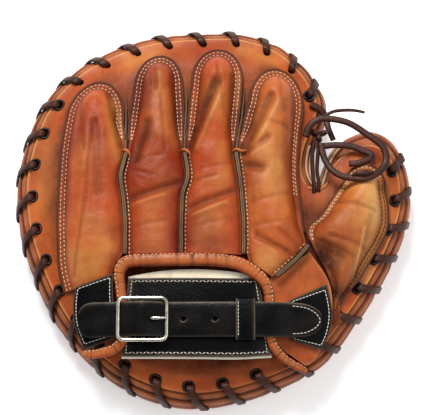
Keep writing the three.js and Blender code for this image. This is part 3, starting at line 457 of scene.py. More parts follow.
def srgb(code: str) -> tuple[float, float, float, float]:
    """Turns a colour into the linear values that shaders use.

    Args:
        code: The colour in hexadecimal.

    Returns:
        Red, green and blue, and 1 for opaque.
    """
    parts = [int(code[i : i + 2], 16) / 255 for i in (1, 3, 5)]
    linear = [p / 12.92 if p <= 0.04045 else ((p + 0.055) / 1.055) ** 2.4 for p in parts]
    return (*linear, 1.0)


class Sketch:
    """Adds and joins the nodes of one material or node group."""

    def __init__(self, tree: bpy.types.NodeTree) -> None:
        """Starts with an empty tree."""
        self.tree = tree
        tree.nodes.clear()

    def add(self, kind: str, sockets: dict | None = None, **settings: object) -> bpy.types.Node:
        """Adds a node.

        Args:
            kind: The node's type, without its common first word.
            sockets: Values, or other nodes' outputs, by the names or numbers of the inputs.
            **settings: The node's own properties.

        Returns:
            The node.
        """
        family = "Node" if kind in ("GroupInput", "GroupOutput") else "ShaderNode"
        node = self.tree.nodes.new(family + kind)
        for name, value in settings.items():
            setattr(node, name, value)
        for name, value in (sockets or {}).items():
            if isinstance(value, bpy.types.NodeSocket):
                self.tree.links.new(value, node.inputs[name])
            else:
                node.inputs[name].default_value = value
        return node

    def open_sockets(self, way: str, *names: str) -> None:
        """Gives a node group its numbers in or out.

        Args:
            way: INPUT or OUTPUT.
            *names: The sockets' names.
        """
        for name in names:
            self.tree.interface.new_socket(name, in_out=way, socket_type="NodeSocketFloat")

    def noise(self, where: object, scale: object, detail: float, roughness: float) -> bpy.types.NodeSocket:
        """Adds a noise texture.

        Args:
            where: The coordinates.
            scale: How fine it is.
            detail: How many finer layers it has.
            roughness: How strong those are.

        Returns:
            Its values.
        """
        sockets = {"Vector": where, "Scale": scale, "Detail": detail, "Roughness": roughness}
        return self.add("TexNoise", sockets).outputs[0]

    def mix_colour(self, share: object, first: object, second: object) -> bpy.types.NodeSocket:
        """Mixes two colours by a share and gives the result."""
        node = self.add("Mix", {0: share, 6: first, 7: second}, data_type="RGBA")
        return node.outputs[2]

    def calculate(self, operation: str, first: object, second: object) -> bpy.types.NodeSocket:
        """Does one sum, kept between 0 and 1, and gives the result."""
        return self.add("Math", {0: first, 1: second}, operation=operation, use_clamp=True).outputs[0]

    def span(self, value: object, low: float, high: float, start: float, end: float) -> bpy.types.NodeSocket:
        """Turns the range from low to high into the range from start to end."""
        sockets = {0: value, 1: low, 2: high, 3: start, 4: end}
        return self.add("MapRange", sockets, clamp=True).outputs[0]

    def end_in_shader(self, sockets: dict) -> None:
        """Ends a material in one shader with these inputs."""
        shader = self.add("BsdfPrincipled", sockets)
        self.add("OutputMaterial", {"Surface": shader.outputs[0]})


def start_material(name: str) -> tuple[bpy.types.Material, Sketch]:
    """Makes an empty material.

    Args:
        name: The material's name.

    Returns:
        The material, and the sketch that fills it.
    """
    material = bpy.data.materials.new(name)
    material.use_nodes = True
    return material, Sketch(material.node_tree)


class Effect(Enum):
    """The effects that several finishes share, each a node group."""

    GRAIN = "hide_grain"
    TONE = "hide_tone"
    DIRT_AND_LIGHT = "dirt_wear_and_painted_light"


def draw_grain(sketch: Sketch) -> None:
    """Draws the height of a hide's pores and creases.

    Args:
        sketch: The node group's sketch.
    """
    sketch.open_sockets("INPUT", "Pore Scale", "Crease Scale")
    sketch.open_sockets("OUTPUT", "Height")
    given = sketch.add("GroupInput").outputs
    where = sketch.add("TexCoord").outputs["Object"]
    pores = sketch.add("TexVoronoi", {"Vector": where, "Scale": given["Pore Scale"]}, feature="SMOOTH_F1")
    creases = sketch.noise(where, given["Crease Scale"], 5.0, 0.62)
    sketch.add("GroupOutput", {"Height": sketch.mix_colour(0.6, pores.outputs[0], creases)})


def draw_tone(sketch: Sketch) -> None:
    """Draws a hide's patches, blush, drawn-out streaks and flecks.

    Args:
        sketch: The node group's sketch.
    """
    sketch.open_sockets("INPUT", "Patch Scale")
    sketch.open_sockets("OUTPUT", "Patches", "Blush", "Streaks", "Flecks")
    scale = sketch.add("GroupInput").outputs["Patch Scale"]
    where = sketch.add("TexCoord").outputs["Object"]
    moved = sketch.add("Mapping", {"Vector": where, "Location": (0.7, -0.4, 0.2)}).outputs[0]
    drawn = sketch.add("Mapping", {"Vector": where, "Scale": (1.0, 0.22, 1.0)}).outputs[0]
    sockets = {
        "Patches": sketch.span(sketch.noise(where, scale, 4.0, 0.55), 0.38, 0.62, 0, 1),
        "Blush": sketch.span(sketch.noise(moved, scale, 3.0, 0.5), 0.44, 0.68, 0, 1),
        "Streaks": sketch.span(sketch.noise(drawn, 95.0, 5.0, 0.6), 0.5, 0.72, 0, 1),
        "Flecks": sketch.span(sketch.noise(where, 260.0, 6.0, 0.7), 0.52, 0.74, 0, 1),
    }
    sketch.add("GroupOutput", sockets)


def draw_dirt_and_light(sketch: Sketch) -> None:
    """Draws the dirt and rubbing that the pieces carry, together with their painted shade and highlights,
    with uneven edges.

    Args:
        sketch: The node group's sketch.
    """
    # The first amount also holds painted shade, and the second painted highlights.
    names = ("Grime_and_shade", "Wear_and_highlight")
    sketch.open_sockets("OUTPUT", *names)
    where = sketch.add("TexCoord").outputs["Object"]
    spread = sketch.span(sketch.noise(where, 90.0, 5.0, 0.65), 0.3, 0.7, 0.55, 1.25)
    sockets = {}
    for name in names:
        amount = sketch.add("Attribute", attribute_name=name.lower()).outputs["Fac"]
        sockets[name] = sketch.calculate("MULTIPLY", amount, spread)
    sketch.add("GroupOutput", sockets)


DRAWINGS = {Effect.GRAIN: draw_grain, Effect.TONE: draw_tone, Effect.DIRT_AND_LIGHT: draw_dirt_and_light}


def place_effect(sketch: Sketch, effect: Effect, scales: dict | None = None) -> bpy.types.bpy_prop_collection:
    """Puts a shared effect in a material, and draws it first if no material has it yet.

    Args:
        sketch: The material's sketch.
        effect: The effect.
        scales: How fine it is, by the names of its inputs.

    Returns:
        The effect's outputs.
    """
    group = bpy.data.node_groups.get(effect.value)
    if not group:
        group = bpy.data.node_groups.new(effect.value, "ShaderNodeTree")
        DRAWINGS[effect](Sketch(group))
    node = sketch.add("Group", node_tree=group)
    for name, value in (scales or {}).items():
        node.inputs[name].default_value = value
    return node.outputs


@dataclass(frozen=True)
class Look:
    """A finish, whose material is made at its first use."""

    name: str

    def material(self) -> bpy.types.Material:
        """Gives the finish's material."""
        return bpy.data.materials.get(self.name) or self.make_material()


@dataclass(frozen=True)
class LeatherLook(Look):
    """A leather finish: its tones from light to dark, its shine and its grain."""

    light: str
    body: str
    blush: str
    dark: str
    # The tone of rubbed places, also used for painted highlights.
    worn_and_lit: str
    gloss: tuple[float, float] = (0.36, 0.56)  # roughness of its smoothest and roughest places
    sheen: float = 0.22
    relief: float = 0.5
    patch_scale: float = 22.0
    pore_scale: float = 620.0
    crease_scale: float = 130.0

    def make_material(self) -> bpy.types.Material:
        """Makes the material.

        Returns:
            The material.
        """
        material, sketch = start_material(self.name)
        tone = place_effect(sketch, Effect.TONE, {"Patch Scale": self.patch_scale})
        dirt_and_light = place_effect(sketch, Effect.DIRT_AND_LIGHT)
        scales = {"Pore Scale": self.pore_scale, "Crease Scale": self.crease_scale}
        height = place_effect(sketch, Effect.GRAIN, scales)["Height"]
        colour = sketch.mix_colour(tone["Patches"], srgb(self.body), srgb(self.light))
        # The worn tone also paints highlights, and the dark tone also paints shade.
        layers = (
            (sketch.calculate("MULTIPLY", tone["Blush"], 0.75), self.blush),
            (sketch.calculate("MULTIPLY", tone["Streaks"], 0.3), self.dark),
            (sketch.calculate("MULTIPLY", tone["Flecks"], 0.3), self.dark),
            (dirt_and_light["Wear_and_highlight"], self.worn_and_lit),
            (dirt_and_light["Grime_and_shade"], self.dark),
        )
        for share, tint in layers:
            colour = sketch.mix_colour(share, colour, srgb(tint))
        bump = sketch.add("Bump", {"Strength": self.relief, "Distance": 0.0006, "Height": height})
        polish = sketch.span(height, 0.25, 0.75, *self.gloss)
        dulled = sketch.calculate("MULTIPLY", dirt_and_light["Grime_and_shade"], 0.35)
        sockets = {
            "Base Color": colour,
            "Roughness": sketch.calculate("ADD", polish, dulled),
            "Normal": bump.outputs[0],
            "Specular IOR Level": self.sheen,
        }
        sketch.end_in_shader(sockets)
        return material


@dataclass(frozen=True)
class MetalLook(Look):
    """Plated metal with dull and tarnished places."""

    bright: str
    tarnish: str
    patch_scale: float = 180.0
    gloss: tuple[float, float] = (0.2, 0.42)

    def make_material(self) -> bpy.types.Material:
        """Makes the material.

        Returns:
            The material.
        """
        material, sketch = start_material(self.name)
        tone = place_effect(sketch, Effect.TONE, {"Patch Scale": self.patch_scale})
        sockets = {
            "Base Color": sketch.mix_colour(tone["Patches"], srgb(self.bright), srgb(self.tarnish)),
            "Metallic": 1.0,
            "Roughness": sketch.span(tone["Flecks"], 0, 1, *self.gloss),
        }
        sketch.end_in_shader(sockets)
        return material


TAN = LeatherLook("tan_hide", "#be5521", "#a93e15", "#832a12", "#381209", "#d9924a")
EMBER = LeatherLook("ember_hide", "#a64118", "#902c0e", "#70200c", "#330f08", "#cf7f40")
HONEY = LeatherLook("honey_hide", "#c86a2e", "#b44f1e", "#8f3518", "#3c150b", "#db9a56")
# A lighter copy of the hide for the thumb, brightened against the shade that falls on it: painted light.
LIT_STRAW = LeatherLook("straw_hide_lit", "#d27a38", "#c05a22", "#9c3c18", "#38130a", "#dba45c")
AMBER = LeatherLook("amber_hide", "#c4642a", "#ae4a1d", "#8c3315", "#3c170d", "#e09a54", relief=0.45)
RUSSET = LeatherLook("russet_hide", "#a84e26", "#783014", "#54200e", "#150704", "#cc7a44")
BINDING = LeatherLook(
    "binding_hide", "#b65020", "#943810", "#76270a", "#2a0d06", "#d58240",
    gloss=(0.28, 0.46), sheen=0.3,
)
RAW_EDGE = LeatherLook("cut_edge", "#4e2a16", "#381b0d", "#281208", "#180a05", "#6e4428")
LACE = LeatherLook("lace_hide", "#34180f", "#1e0c08", "#160806", "#0a0403", "#66382a", relief=0.6)
WELT = LeatherLook("welt_hide", "#3c2a1a", "#22160d", "#1a110a", "#0e0805", "#6c5238", relief=0.6)
PIPING = LeatherLook("piping_hide", "#80603f", "#5e442c", "#4c3422", "#302014", "#ac855c", relief=0.3)
PALE_EDGE = LeatherLook(
    "pale_edge_hide", "#e0b48c", "#c68f62", "#b07448", "#5a3820", "#f0d2b0",
    relief=0.3,
)
BLACK = LeatherLook(
    "black_hide", "#07080a", "#030305", "#030304", "#010102", "#77695a",
    gloss=(0.22, 0.4), sheen=0.09, relief=0.3,
)
CREAM = LeatherLook(
    "cream_hide", "#fff6dc", "#f4e6c6", "#e8d6b0", "#9a845e", "#fffaf0",
    gloss=(0.6, 0.85), relief=0.3,
)
THREAD = LeatherLook(
    "stitch_thread", "#f4d9b6", "#e4be92", "#d0a276", "#80684a", "#f8e8d0",
    gloss=(0.55, 0.8), relief=0.3,
)
PALE_THREAD = LeatherLook(
    "pale_thread", "#fbf6ea", "#efe6d4", "#dccfb6", "#8c8068", "#ffffff",
    gloss=(0.55, 0.8), relief=0.3,
)
DARK_THREAD = LeatherLook(
    "dark_thread", "#5c341c", "#3e2010", "#301609", "#180a05", "#8a5a34",
    gloss=(0.5, 0.7), relief=0.3,
)
EYELET = LeatherLook(
    "eyelet_black", "#150d0a", "#090504", "#080404", "#030202", "#3c2a20",
    gloss=(0.26, 0.44),
)
NICKEL = MetalLook("nickel_plate", "#e8e2d6", "#b8b1a0")


# Making pieces.


@dataclass
class Surface:
    """Points of a mapped sheet, with dirt and painted shade, and rubbing and painted highlights, from 0 to 1
    at each.
    """

    points: np.ndarray
    grime_and_shade: np.ndarray | float = 0.0
    wear_and_highlight: np.ndarray | float = 0.0


Place = Callable[[np.ndarray, np.ndarray], Surface]
Swell = Callable[[np.ndarray, np.ndarray], np.ndarray]


def mapped_sheet(columns: int, rows: int, place: Place) -> bmesh.types.BMesh:
    """Makes a grid and lays each of its corners where place says.

    Args:
        columns: Faces along the first share.
        rows: Faces along the second share.
        place: Gives the surface at shares from 0 to 1.

    Returns:
        The sheet in millimetres, with its seams merged.
    """
    sheet = bmesh.new()
    sheet.loops.layers.uv.new("UVMap")
    # Each corner carries dirt together with painted shade, and rubbing together with painted highlights.
    layers = [sheet.verts.layers.float.new(name) for name in ("grime_and_shade", "wear_and_highlight")]
    bmesh.ops.create_grid(sheet, x_segments=columns, y_segments=rows, size=0.5, calc_uvs=True)
    corners = list(sheet.verts)
    shares = np.array([corner.co[:2] for corner in corners]) + 0.5
    laid = place(clamp01(shares[:, 0]), clamp01(shares[:, 1]))
    grime_and_shade = np.broadcast_to(laid.grime_and_shade, len(corners))
    wear_and_highlight = np.broadcast_to(laid.wear_and_highlight, len(corners))
    for i, corner in enumerate(corners):
        corner.co = laid.points[i]
        corner[layers[0]] = float(grime_and_shade[i])
        corner[layers[1]] = float(wear_and_highlight[i])
    bmesh.ops.remove_doubles(sheet, verts=sheet.verts, dist=0.01)
    return sheet


def face_up(sheet: bmesh.types.BMesh) -> None:
    """Turns an open sheet's faces to look up.

    Args:
        sheet: The sheet.
    """
    sheet.normal_update()
    if sum(face.normal.z * face.calc_area() for face in sheet.faces) < 0:
        bmesh.ops.reverse_faces(sheet, faces=sheet.faces)


def close_up(sheet: bmesh.types.BMesh) -> None:
    """Closes the open ends of a shell and turns its faces outwards.

    Args:
        sheet: The shell.
    """
    rim = [edge for edge in sheet.edges if edge.is_boundary]
    if rim:
        bmesh.ops.holes_fill(sheet, edges=rim, sides=0)
    bmesh.ops.recalc_face_normals(sheet, faces=sheet.faces)


def punch(sheet: bmesh.types.BMesh, x: float, y: float, radius: float) -> None:
    """Cuts a round hole in an open sheet.

    Args:
        sheet: The sheet, in millimetres.
        x: The hole's centre.
        y: The hole's centre.
        radius: The hole's radius.
    """
    centre = Vector((x, y))
    cut = [face for face in sheet.faces if (face.calc_center_median().xy - centre).length < radius]
    ring = {corner for face in cut for corner in face.verts}
    bmesh.ops.delete(sheet, geom=cut, context="FACES")
    for corner in ring:
        if corner.is_valid and corner.is_boundary:
            away = corner.co.xy - centre
            if away.length > 1e-6:
                corner.co.xy = centre + away.normalized() * radius


def add_object(name: str, data: bpy.types.ID) -> bpy.types.Object:
    """Makes an object and puts it in the scene.

    Args:
        name: The object's name.
        data: Its mesh, light or camera.

    Returns:
        The object.
    """
    made = bpy.data.objects.new(name, data)
    bpy.context.scene.collection.objects.link(made)
    return made


def finish_piece(
    sheet: bmesh.types.BMesh,
    name: str,
    look: Look,
    stands_for: Sequence[str] = (),
    thickness: float = 0.0,
    edge: Look | None = None,
) -> bpy.types.Object:
    """Puts a shape in its place as a piece of the mitt.

    Args:
        sheet: The shape, in millimetres in the tables' frame.
        name: The piece's name.
        look: Its finish.
        stands_for: The part's nodes that it replaces.
        thickness: The wall that an open sheet gets below it.
        edge: The finish of that wall's cut edge.

    Returns:
        The piece.
    """
    bmesh.ops.translate(sheet, verts=sheet.verts, vec=TABLE_SHIFT)
    bmesh.ops.scale(sheet, verts=sheet.verts, vec=(MILLIMETRE,) * 3)
    mesh = bpy.data.meshes.new(name)
    sheet.to_mesh(mesh)
    sheet.free()
    mesh.polygons.foreach_set("use_smooth", [True] * len(mesh.polygons))
    piece = add_object(name, mesh)
    mesh.materials.append(look.material())
    if thickness:
        wall = piece.modifiers.new("wall", "SOLIDIFY")
        wall.thickness = thickness * MILLIMETRE
        wall.offset = -1
        if edge:
            mesh.materials.append(edge.material())
            wall.material_offset_rim = 1
        soften = piece.modifiers.new("cut edge", "BEVEL")
        soften.width = min(EDGE_ROUNDING, thickness / 4) * MILLIMETRE
        soften.segments = 2
        soften.limit_method = "ANGLE"
        soften.angle_limit = math.radians(SHARP_ANGLE)
    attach(piece, "root")
    if stands_for:
        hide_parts(*stands_for)
    LOG.info("made %s with %d faces", name, len(mesh.polygons))
    return piece


@dataclass
class Bar:
    """A bar along a path. flatness is 1 for a round or oval section and less for a flat one."""

    path: np.ndarray
    width: np.ndarray | float
    height: np.ndarray | float
    across: np.ndarray | None = None  # the way of the width, level if it isn't given
    flatness: float = 1.0
    closed: bool = False

    def frames(self) -> tuple[np.ndarray, np.ndarray]:
        """Works out how the section is turned at each step of the path.

        Returns:
            The directions of its width and of its height.
        """
        if self.closed:
            ahead = np.roll(self.path, -1, axis=0) - np.roll(self.path, 1, axis=0)
        else:
            ahead = np.gradient(self.path, axis=0)
        ahead = unit(ahead)
        if self.across is None:
            across = np.stack([-ahead[:, 1], ahead[:, 0], np.zeros(len(ahead))], axis=1)
        else:
            across = np.broadcast_to(self.across, ahead.shape)
        across = unit(across - ahead * np.sum(across * ahead, axis=1, keepdims=True))
        return across, np.cross(ahead, across)

    def mesh(self, around: int, swell: Swell | None = None) -> bmesh.types.BMesh:
        """Makes the bar.

        Args:
            around: Faces round the section.
            swell: Gives how much thicker the bar is, from the angle round it and the share along it.

        Returns:
            The closed bar.
        """
        across, up = self.frames()
        width = np.broadcast_to(self.width, len(self.path))
        height = np.broadcast_to(self.height, len(self.path))
        steps = len(self.path) - (0 if self.closed else 1)

        def place(turn: np.ndarray, share: np.ndarray) -> Surface:
            """Lays the skin.

            Args:
                turn: Share of the way round the section.
                share: Share of the way along the bar.

            Returns:
                The skin, with painted shade below and in the pleats, and a painted highlight on top.
            """
            angle = turn * 2 * math.pi
            step = np.rint(share * steps).astype(int) % len(self.path)
            side = np.sign(np.cos(angle)) * np.abs(np.cos(angle)) ** self.flatness
            top = np.sign(np.sin(angle)) * np.abs(np.sin(angle)) ** self.flatness
            more = np.ones(len(step)) if swell is None else 1 + swell(angle, share)
            offset = across[step] * (side * width[step] * more / 2)[:, None]
            offset = offset + up[step] * (top * height[step] * more / 2)[:, None]
            # Painted shade on the underside and in the pleats, and a painted highlight on top.
            grime_and_shade = clamp01(0.35 * clamp01(-np.sin(angle)) + 5 * (1 - more))
            wear_and_highlight = 0.5 * clamp01(np.sin(angle)) ** 4 * clamp01(more)
            return Surface(self.path[step] + offset, grime_and_shade, wear_and_highlight)

        bar = mapped_sheet(around, steps, place)
        close_up(bar)
        return bar


def course_path(course: Course, steps: int) -> dict[str, np.ndarray]:
    """Reads a table at equal steps.

    Args:
        course: The table.
        steps: How many steps.

    Returns:
        Each column's values, and the points as path.
    """
    read = course.at(np.linspace(0, 1, steps + 1))
    read["path"] = np.stack([read["x"], read["y"], read["z"]], axis=1)
    return read


ROUTE_COLUMNS = ("x", "y", "z", "width", "height")


def routed_bar(
    rows: tuple[tuple[float, ...], ...], steps: int, flatness: float, across: np.ndarray | None = None
) -> Bar:
    """Lays out a bar along a table of points, widths and heights.

    Args:
        rows: The table.
        steps: Steps along it.
        flatness: The bar's flatness.
        across: The way of its width.

    Returns:
        The bar.
    """
    read = course_path(Course(ROUTE_COLUMNS, rows), steps)
    return Bar(read["path"], read["width"], read["height"], across, flatness)


def even_line(points: np.ndarray, pitch: float) -> tuple[np.ndarray, np.ndarray]:
    """Spaces places evenly along a line.

    Args:
        points: The line's points.
        pitch: The distance from one place to the next.

    Returns:
        The places, and the direction of the line at each.
    """
    steps = np.linalg.norm(np.diff(points, axis=0), axis=1)
    lengths = np.concatenate([[0], np.cumsum(steps)])
    count = max(2, round(lengths[-1] / pitch))
    wanted = (np.arange(count) + 0.5) * lengths[-1] / count

    def read(at: np.ndarray) -> np.ndarray:
        """Gives the line's points at arc lengths."""
        return np.stack([np.interp(at, lengths, points[:, k]) for k in range(3)], axis=1)

    return read(wanted), unit(read(wanted + 0.5) - read(wanted - 0.5))


@dataclass
class Thread:
    """Stitches along lines, gathered into one piece."""

    name: str
    length: float = 2.3
    width: float = 0.75
    height: float = 0.7
    pitch: float = STITCH_PITCH
    places: list[Matrix] = field(default_factory=list)

    def sew(self, points: np.ndarray, up: Sequence[float] = (0, 0, 1), slant: float = 0.0) -> None:
        """Adds a row of stitches.

        Args:
            points: The line that the row follows, on the leather.
            up: The way out of the leather.
            slant: How far the stitches turn from the line, one way and the other, in radians.
        """
        centres, ahead = even_line(points, self.pitch)
        for number, (centre, way) in enumerate(zip(centres, ahead)):
            x_axis = Vector(way)
            z_axis = Vector(up)
            z_axis = (z_axis - x_axis * z_axis.dot(x_axis)).normalized()
            turn = Matrix((x_axis, z_axis.cross(x_axis), z_axis)).transposed().to_4x4()
            size = Matrix.Diagonal((self.length / 2, self.width / 2, self.height / 2, 1))
            turn = turn @ Matrix.Rotation(slant if number % 2 else -slant, 4, "Z")
            self.places.append(Matrix.Translation(Vector(centre)) @ turn @ size)

    def finish(self, look: Look = THREAD) -> bpy.types.Object:
        """Makes all the stitches.

        Args:
            look: Their finish.

        Returns:
            The piece that they make.
        """
        stitch = bmesh.new()
        bmesh.ops.create_uvsphere(stitch, u_segments=6, v_segments=4, radius=1)
        return finish_piece(repeat_shape(stitch, self.places), self.name, look)


def repeat_shape(shape: bmesh.types.BMesh, places: Sequence[Matrix]) -> bmesh.types.BMesh:
    """Sets one shape at many places.

    Args:
        shape: The shape, which is used up.
        places: Where each copy goes.

    Returns:
        All the copies in one shape.
    """
    shape.verts.ensure_lookup_table()
    shape.verts.index_update()
    corners = np.array([[*corner.co, 1.0] for corner in shape.verts])
    # Sorted, since spheres and spins are made with their faces in an order that changes from run to run.
    faces = sorted([corner.index for corner in face.verts] for face in shape.faces)
    shape.free()
    stacked = np.vstack([(corners @ np.array(place).T)[:, :3] for place in places])
    count = len(corners)
    mesh = bpy.data.meshes.new("copies")
    all_faces = [[i + k * count for i in face] for k in range(len(places)) for face in faces]
    mesh.from_pydata(stacked, [], all_faces)
    copies = bmesh.new()
    copies.from_mesh(mesh)
    bpy.data.meshes.remove(mesh)
    return copies


# The palm with its rolled rim.


@dataclass
class Palm:
    """The palm's leather with the rolled rim and the padding that the hand lies on."""

    form: MittForm
    columns: int = 620
    rows: int = 62
    rolls: float = 3.0
    roll_depth: float = 1.7
    pucker: float = 1.1  # how far the lace pulls the rim in
    rim_starts: float = 5.3  # the profile's row from which the rim is rolled
    rim_rows: float = 2.75
    unevenness: float = 0.5
    fill: float = 0.9
    profile: Course = Course(
        ("inset", "seam", "core", "z"),
        (
            (16, 0, 1, 13),
            (16, 0, 0.5, 10),
            (16, 0, 0.15, 2.6),
            (15, 0, 0, 0),
            (8, 0, 0, 0),
            (1.6, 0, 0, 7),
            (0, 0, 0, 16),
            (0, 0.35, 0, 25),
            (0, 1, 0, 29.4),
            (2.4, 1, 0, 27.4),
            (6, 1, 0, 24.4),
            (12, 1, 0.03, 24.4),
            (16, 1, 0.4, 24.8),
            (16, 1, 1, 25),
        ),
    )

    def place(self, around: np.ndarray, across: np.ndarray) -> Surface:
        """Lays the palm from the pocket's roof, round the rim, to the padding's middle.

        Args:
            around: Share of the way round the rim.
            across: Share of the way along the profile.

        Returns:
            The palm's skin, with painted shade in the rim's grooves and in the lace's puckers, and a painted
            highlight, partly rubbing, on its rolls.
        """
        places = self.form.places(around * self.form.length)
        step = self.profile.at(across)
        points = places.at(step["inset"] + step["seam"] * places.row["seam"], np.maximum(step["z"], 0))
        core = clamp01(step["core"])
        points[:, 0] = mix(points[:, 0], places.row["core_x"], core)
        points[:, 1] = mix(points[:, 1], places.row["core_y"], core)
        row = across * (len(self.profile.rows) - 1)
        climb = (row - self.rim_starts) / self.rim_rows
        on_rim = smooth_step(climb * 5) * smooth_step((1.04 - climb) * 8)
        bulging = smooth_step((row - 4.3) / 1.4) * smooth_step((1.02 - climb) * 4)
        wave = np.abs(np.sin(math.pi * self.rolls * climb)) ** 0.6
        laced = smooth_step((places.turn + 0.6) * 2) * smooth_step((LACE_TURNS - 0.4 - places.turn) * 2)
        pressed = mix(0.42, 0.06, clamp01(climb))
        pull = np.cos(math.pi * (places.turn - pressed)) ** 2
        out = self.roll_depth * (wave - 0.75) * on_rim
        out = out - self.pucker * (pull**3 - 0.25) * laced * bulging
        out = out + self.unevenness * ripple(points, 9.0, 3.0) * bulging
        lean = mix(0.0, 1.3, clamp01(climb))
        points[:, :2] -= places.aim * (out * np.cos(lean))[:, None]
        points[:, 2] += out * np.sin(lean)
        # Painted shade in the grooves and the puckers, and a painted highlight, partly rubbing, on the rolls.
        groove = (1 - wave) ** 2 * on_rim
        grime_and_shade = clamp01(0.9 * groove + 0.5 * pull**4 * laced * bulging)
        wear_and_highlight = 0.75 * on_rim * clamp01(wave * 1.5 - 0.7) * (1 - 0.6 * pull)
        return Surface(points, grime_and_shade, wear_and_highlight)

    def build(self) -> None:
        """Makes the palm."""
        sheet = mapped_sheet(self.columns, self.rows, self.place)
        close_up(sheet)
        finish_piece(sheet, "palm_leather", RUSSET, ["palm"])


@dataclass
class BackPanel:
    """The leather round the hand, with its pale cut edge, its punched holes and their rings."""

    form: MittForm
    columns: int = 560
    rows: int = 30
    edge_share: float = 0.36  # of the rows, for the band with the holes
    edge_beyond: float = 2.0  # how much wider than to the holes' centres that band is
    rounding: float = 0.7
    rounding_share: float = 0.07
    hole_radius: float = 2.5
    ring_radius: float = 4.5
    ring_flatness: float = 0.95
    ring_lift: float = 0.25
    last_ring_y: float = 92.0  # beyond it, at the fingertips, the holes have no rings
    # Where the columns crowd together, beside the foot of the notch.
    crowded_place: tuple[float, float] = (82.0, 17.0)
    crowded_reach: float = 17.0
    easing_rounds: int = 60

    def place(self, around: np.ndarray, across: np.ndarray) -> Surface:
        """Lays the panel from its outer edge to the opening over the hand.

        Args:
            around: Share of the way round the rim.
            across: Share of the way inwards.

        Returns:
            The panel's top, with painted shade between the fingers and at the web, darker below the band at
            the wrist, lighter along its cut edge, and with the tables' painted shades and highlights.
        """
        places = self.form.places(around * self.form.length)
        inset = places.row["seam"] + clamp01(across / self.edge_share) * (HOLE_INSET + self.edge_beyond)
        points = places.at(inset, 0.0)
        reach = clamp01((across - self.edge_share) / (1 - self.edge_share))
        points[:, 0] = mix(points[:, 0], places.row["hole_x"], reach)
        points[:, 1] = mix(points[:, 1], places.row["hole_y"], reach)
        x, y = points[:, 0], points[:, 1]
        rounded = self.rounding * clamp01(1 - across / self.rounding_share) ** 2
        uneven = 0.35 + 0.35 * ripple(points, 13.0, 7.0)
        points[:, 2] = self.form.back_height(x, y) - rounded - uneven * smooth_step(across * 8)
        # Painted shade between the fingers and at the web; darker below the band at the wrist.
        between = smooth_step((reach - 0.1) * 1.6)
        web = np.exp(-(((x - 77) / 13) ** 2) - ((y - 22) / 16) ** 2)
        wrist = smooth_step((-88 - y) / 12) * np.exp(-(((x - 5) / 52) ** 4))
        grime_and_shade = soft_limit(0.85 * between + 0.35 * web + 0.25 * wrist + strokes_at(x, y, SHADES))
        cut = mix(0.95, 0.4, smooth_step((-60 - y) / 40)) * clamp01(1.2 - across / self.rounding_share)
        wear_and_highlight = clamp01(cut + 0.9 * strokes_at(x, y, GLOWS))
        return Surface(points, grime_and_shade, wear_and_highlight)

    def hole_places(self) -> RimPlaces:
        """Gives the places of the lace's holes along the rim."""
        return self.form.places(self.form.lace_start + np.arange(LACE_TURNS) * self.form.lace_pitch)

    def build(self) -> None:
        """Makes the panel, cuts its holes and sets a ring round each."""
        sheet = mapped_sheet(self.columns, self.rows, self.place)
        places = self.hole_places()
        centres = places.at(places.row["seam"] + HOLE_INSET, 0.0)
        for x, y, _ in centres:
            punch(sheet, x, y, self.hole_radius)
        crowded = []
        for corner in sheet.verts:
            away = (corner.co.xy - Vector(self.crowded_place)).length
            if away < self.crowded_reach and not corner.is_boundary:
                crowded.append(corner)
        every_way = {"use_axis_x": True, "use_axis_y": True, "use_axis_z": True}
        for _ in range(self.easing_rounds):
            bmesh.ops.smooth_vert(sheet, verts=crowded, factor=0.5, **every_way)
        face_up(sheet)
        finish_piece(sheet, "back_leather", AMBER, ["back_panel"], LEATHER, RAW_EDGE)
        self.set_rings(centres)

    def set_rings(self, centres: np.ndarray) -> None:
        """Sets a well-used leather ring round each hole, but for those at the fingertips.

        Args:
            centres: The holes' centres.
        """
        ring = bmesh.new()
        half = (self.ring_radius - self.hole_radius) / 2
        wall = bmesh.ops.create_circle(ring, segments=8, radius=half, cap_ends=False)["verts"]
        bmesh.ops.rotate(ring, verts=wall, matrix=Matrix.Rotation(math.pi / 2, 3, "X"))
        bmesh.ops.scale(ring, verts=wall, vec=(1, 1, self.ring_flatness))
        bmesh.ops.translate(ring, verts=wall, vec=(self.hole_radius + half, 0, 0))
        bmesh.ops.spin(
            ring,
            geom=ring.edges[:],
            axis=(0, 0, 1),
            cent=(0, 0, 0),
            steps=20,
            angle=2 * math.pi,
            use_merge=True,
        )
        bmesh.ops.recalc_face_normals(ring, faces=ring.faces)
        heights = self.form.back_height(centres[:, 0], centres[:, 1])
        places = []
        for (x, y, _), z in zip(centres, heights):
            if y < self.last_ring_y:
                places.append(Matrix.Translation((x, y, z + self.ring_lift)))
        finish_piece(repeat_shape(ring, places), "lace_hole_rings", EYELET)


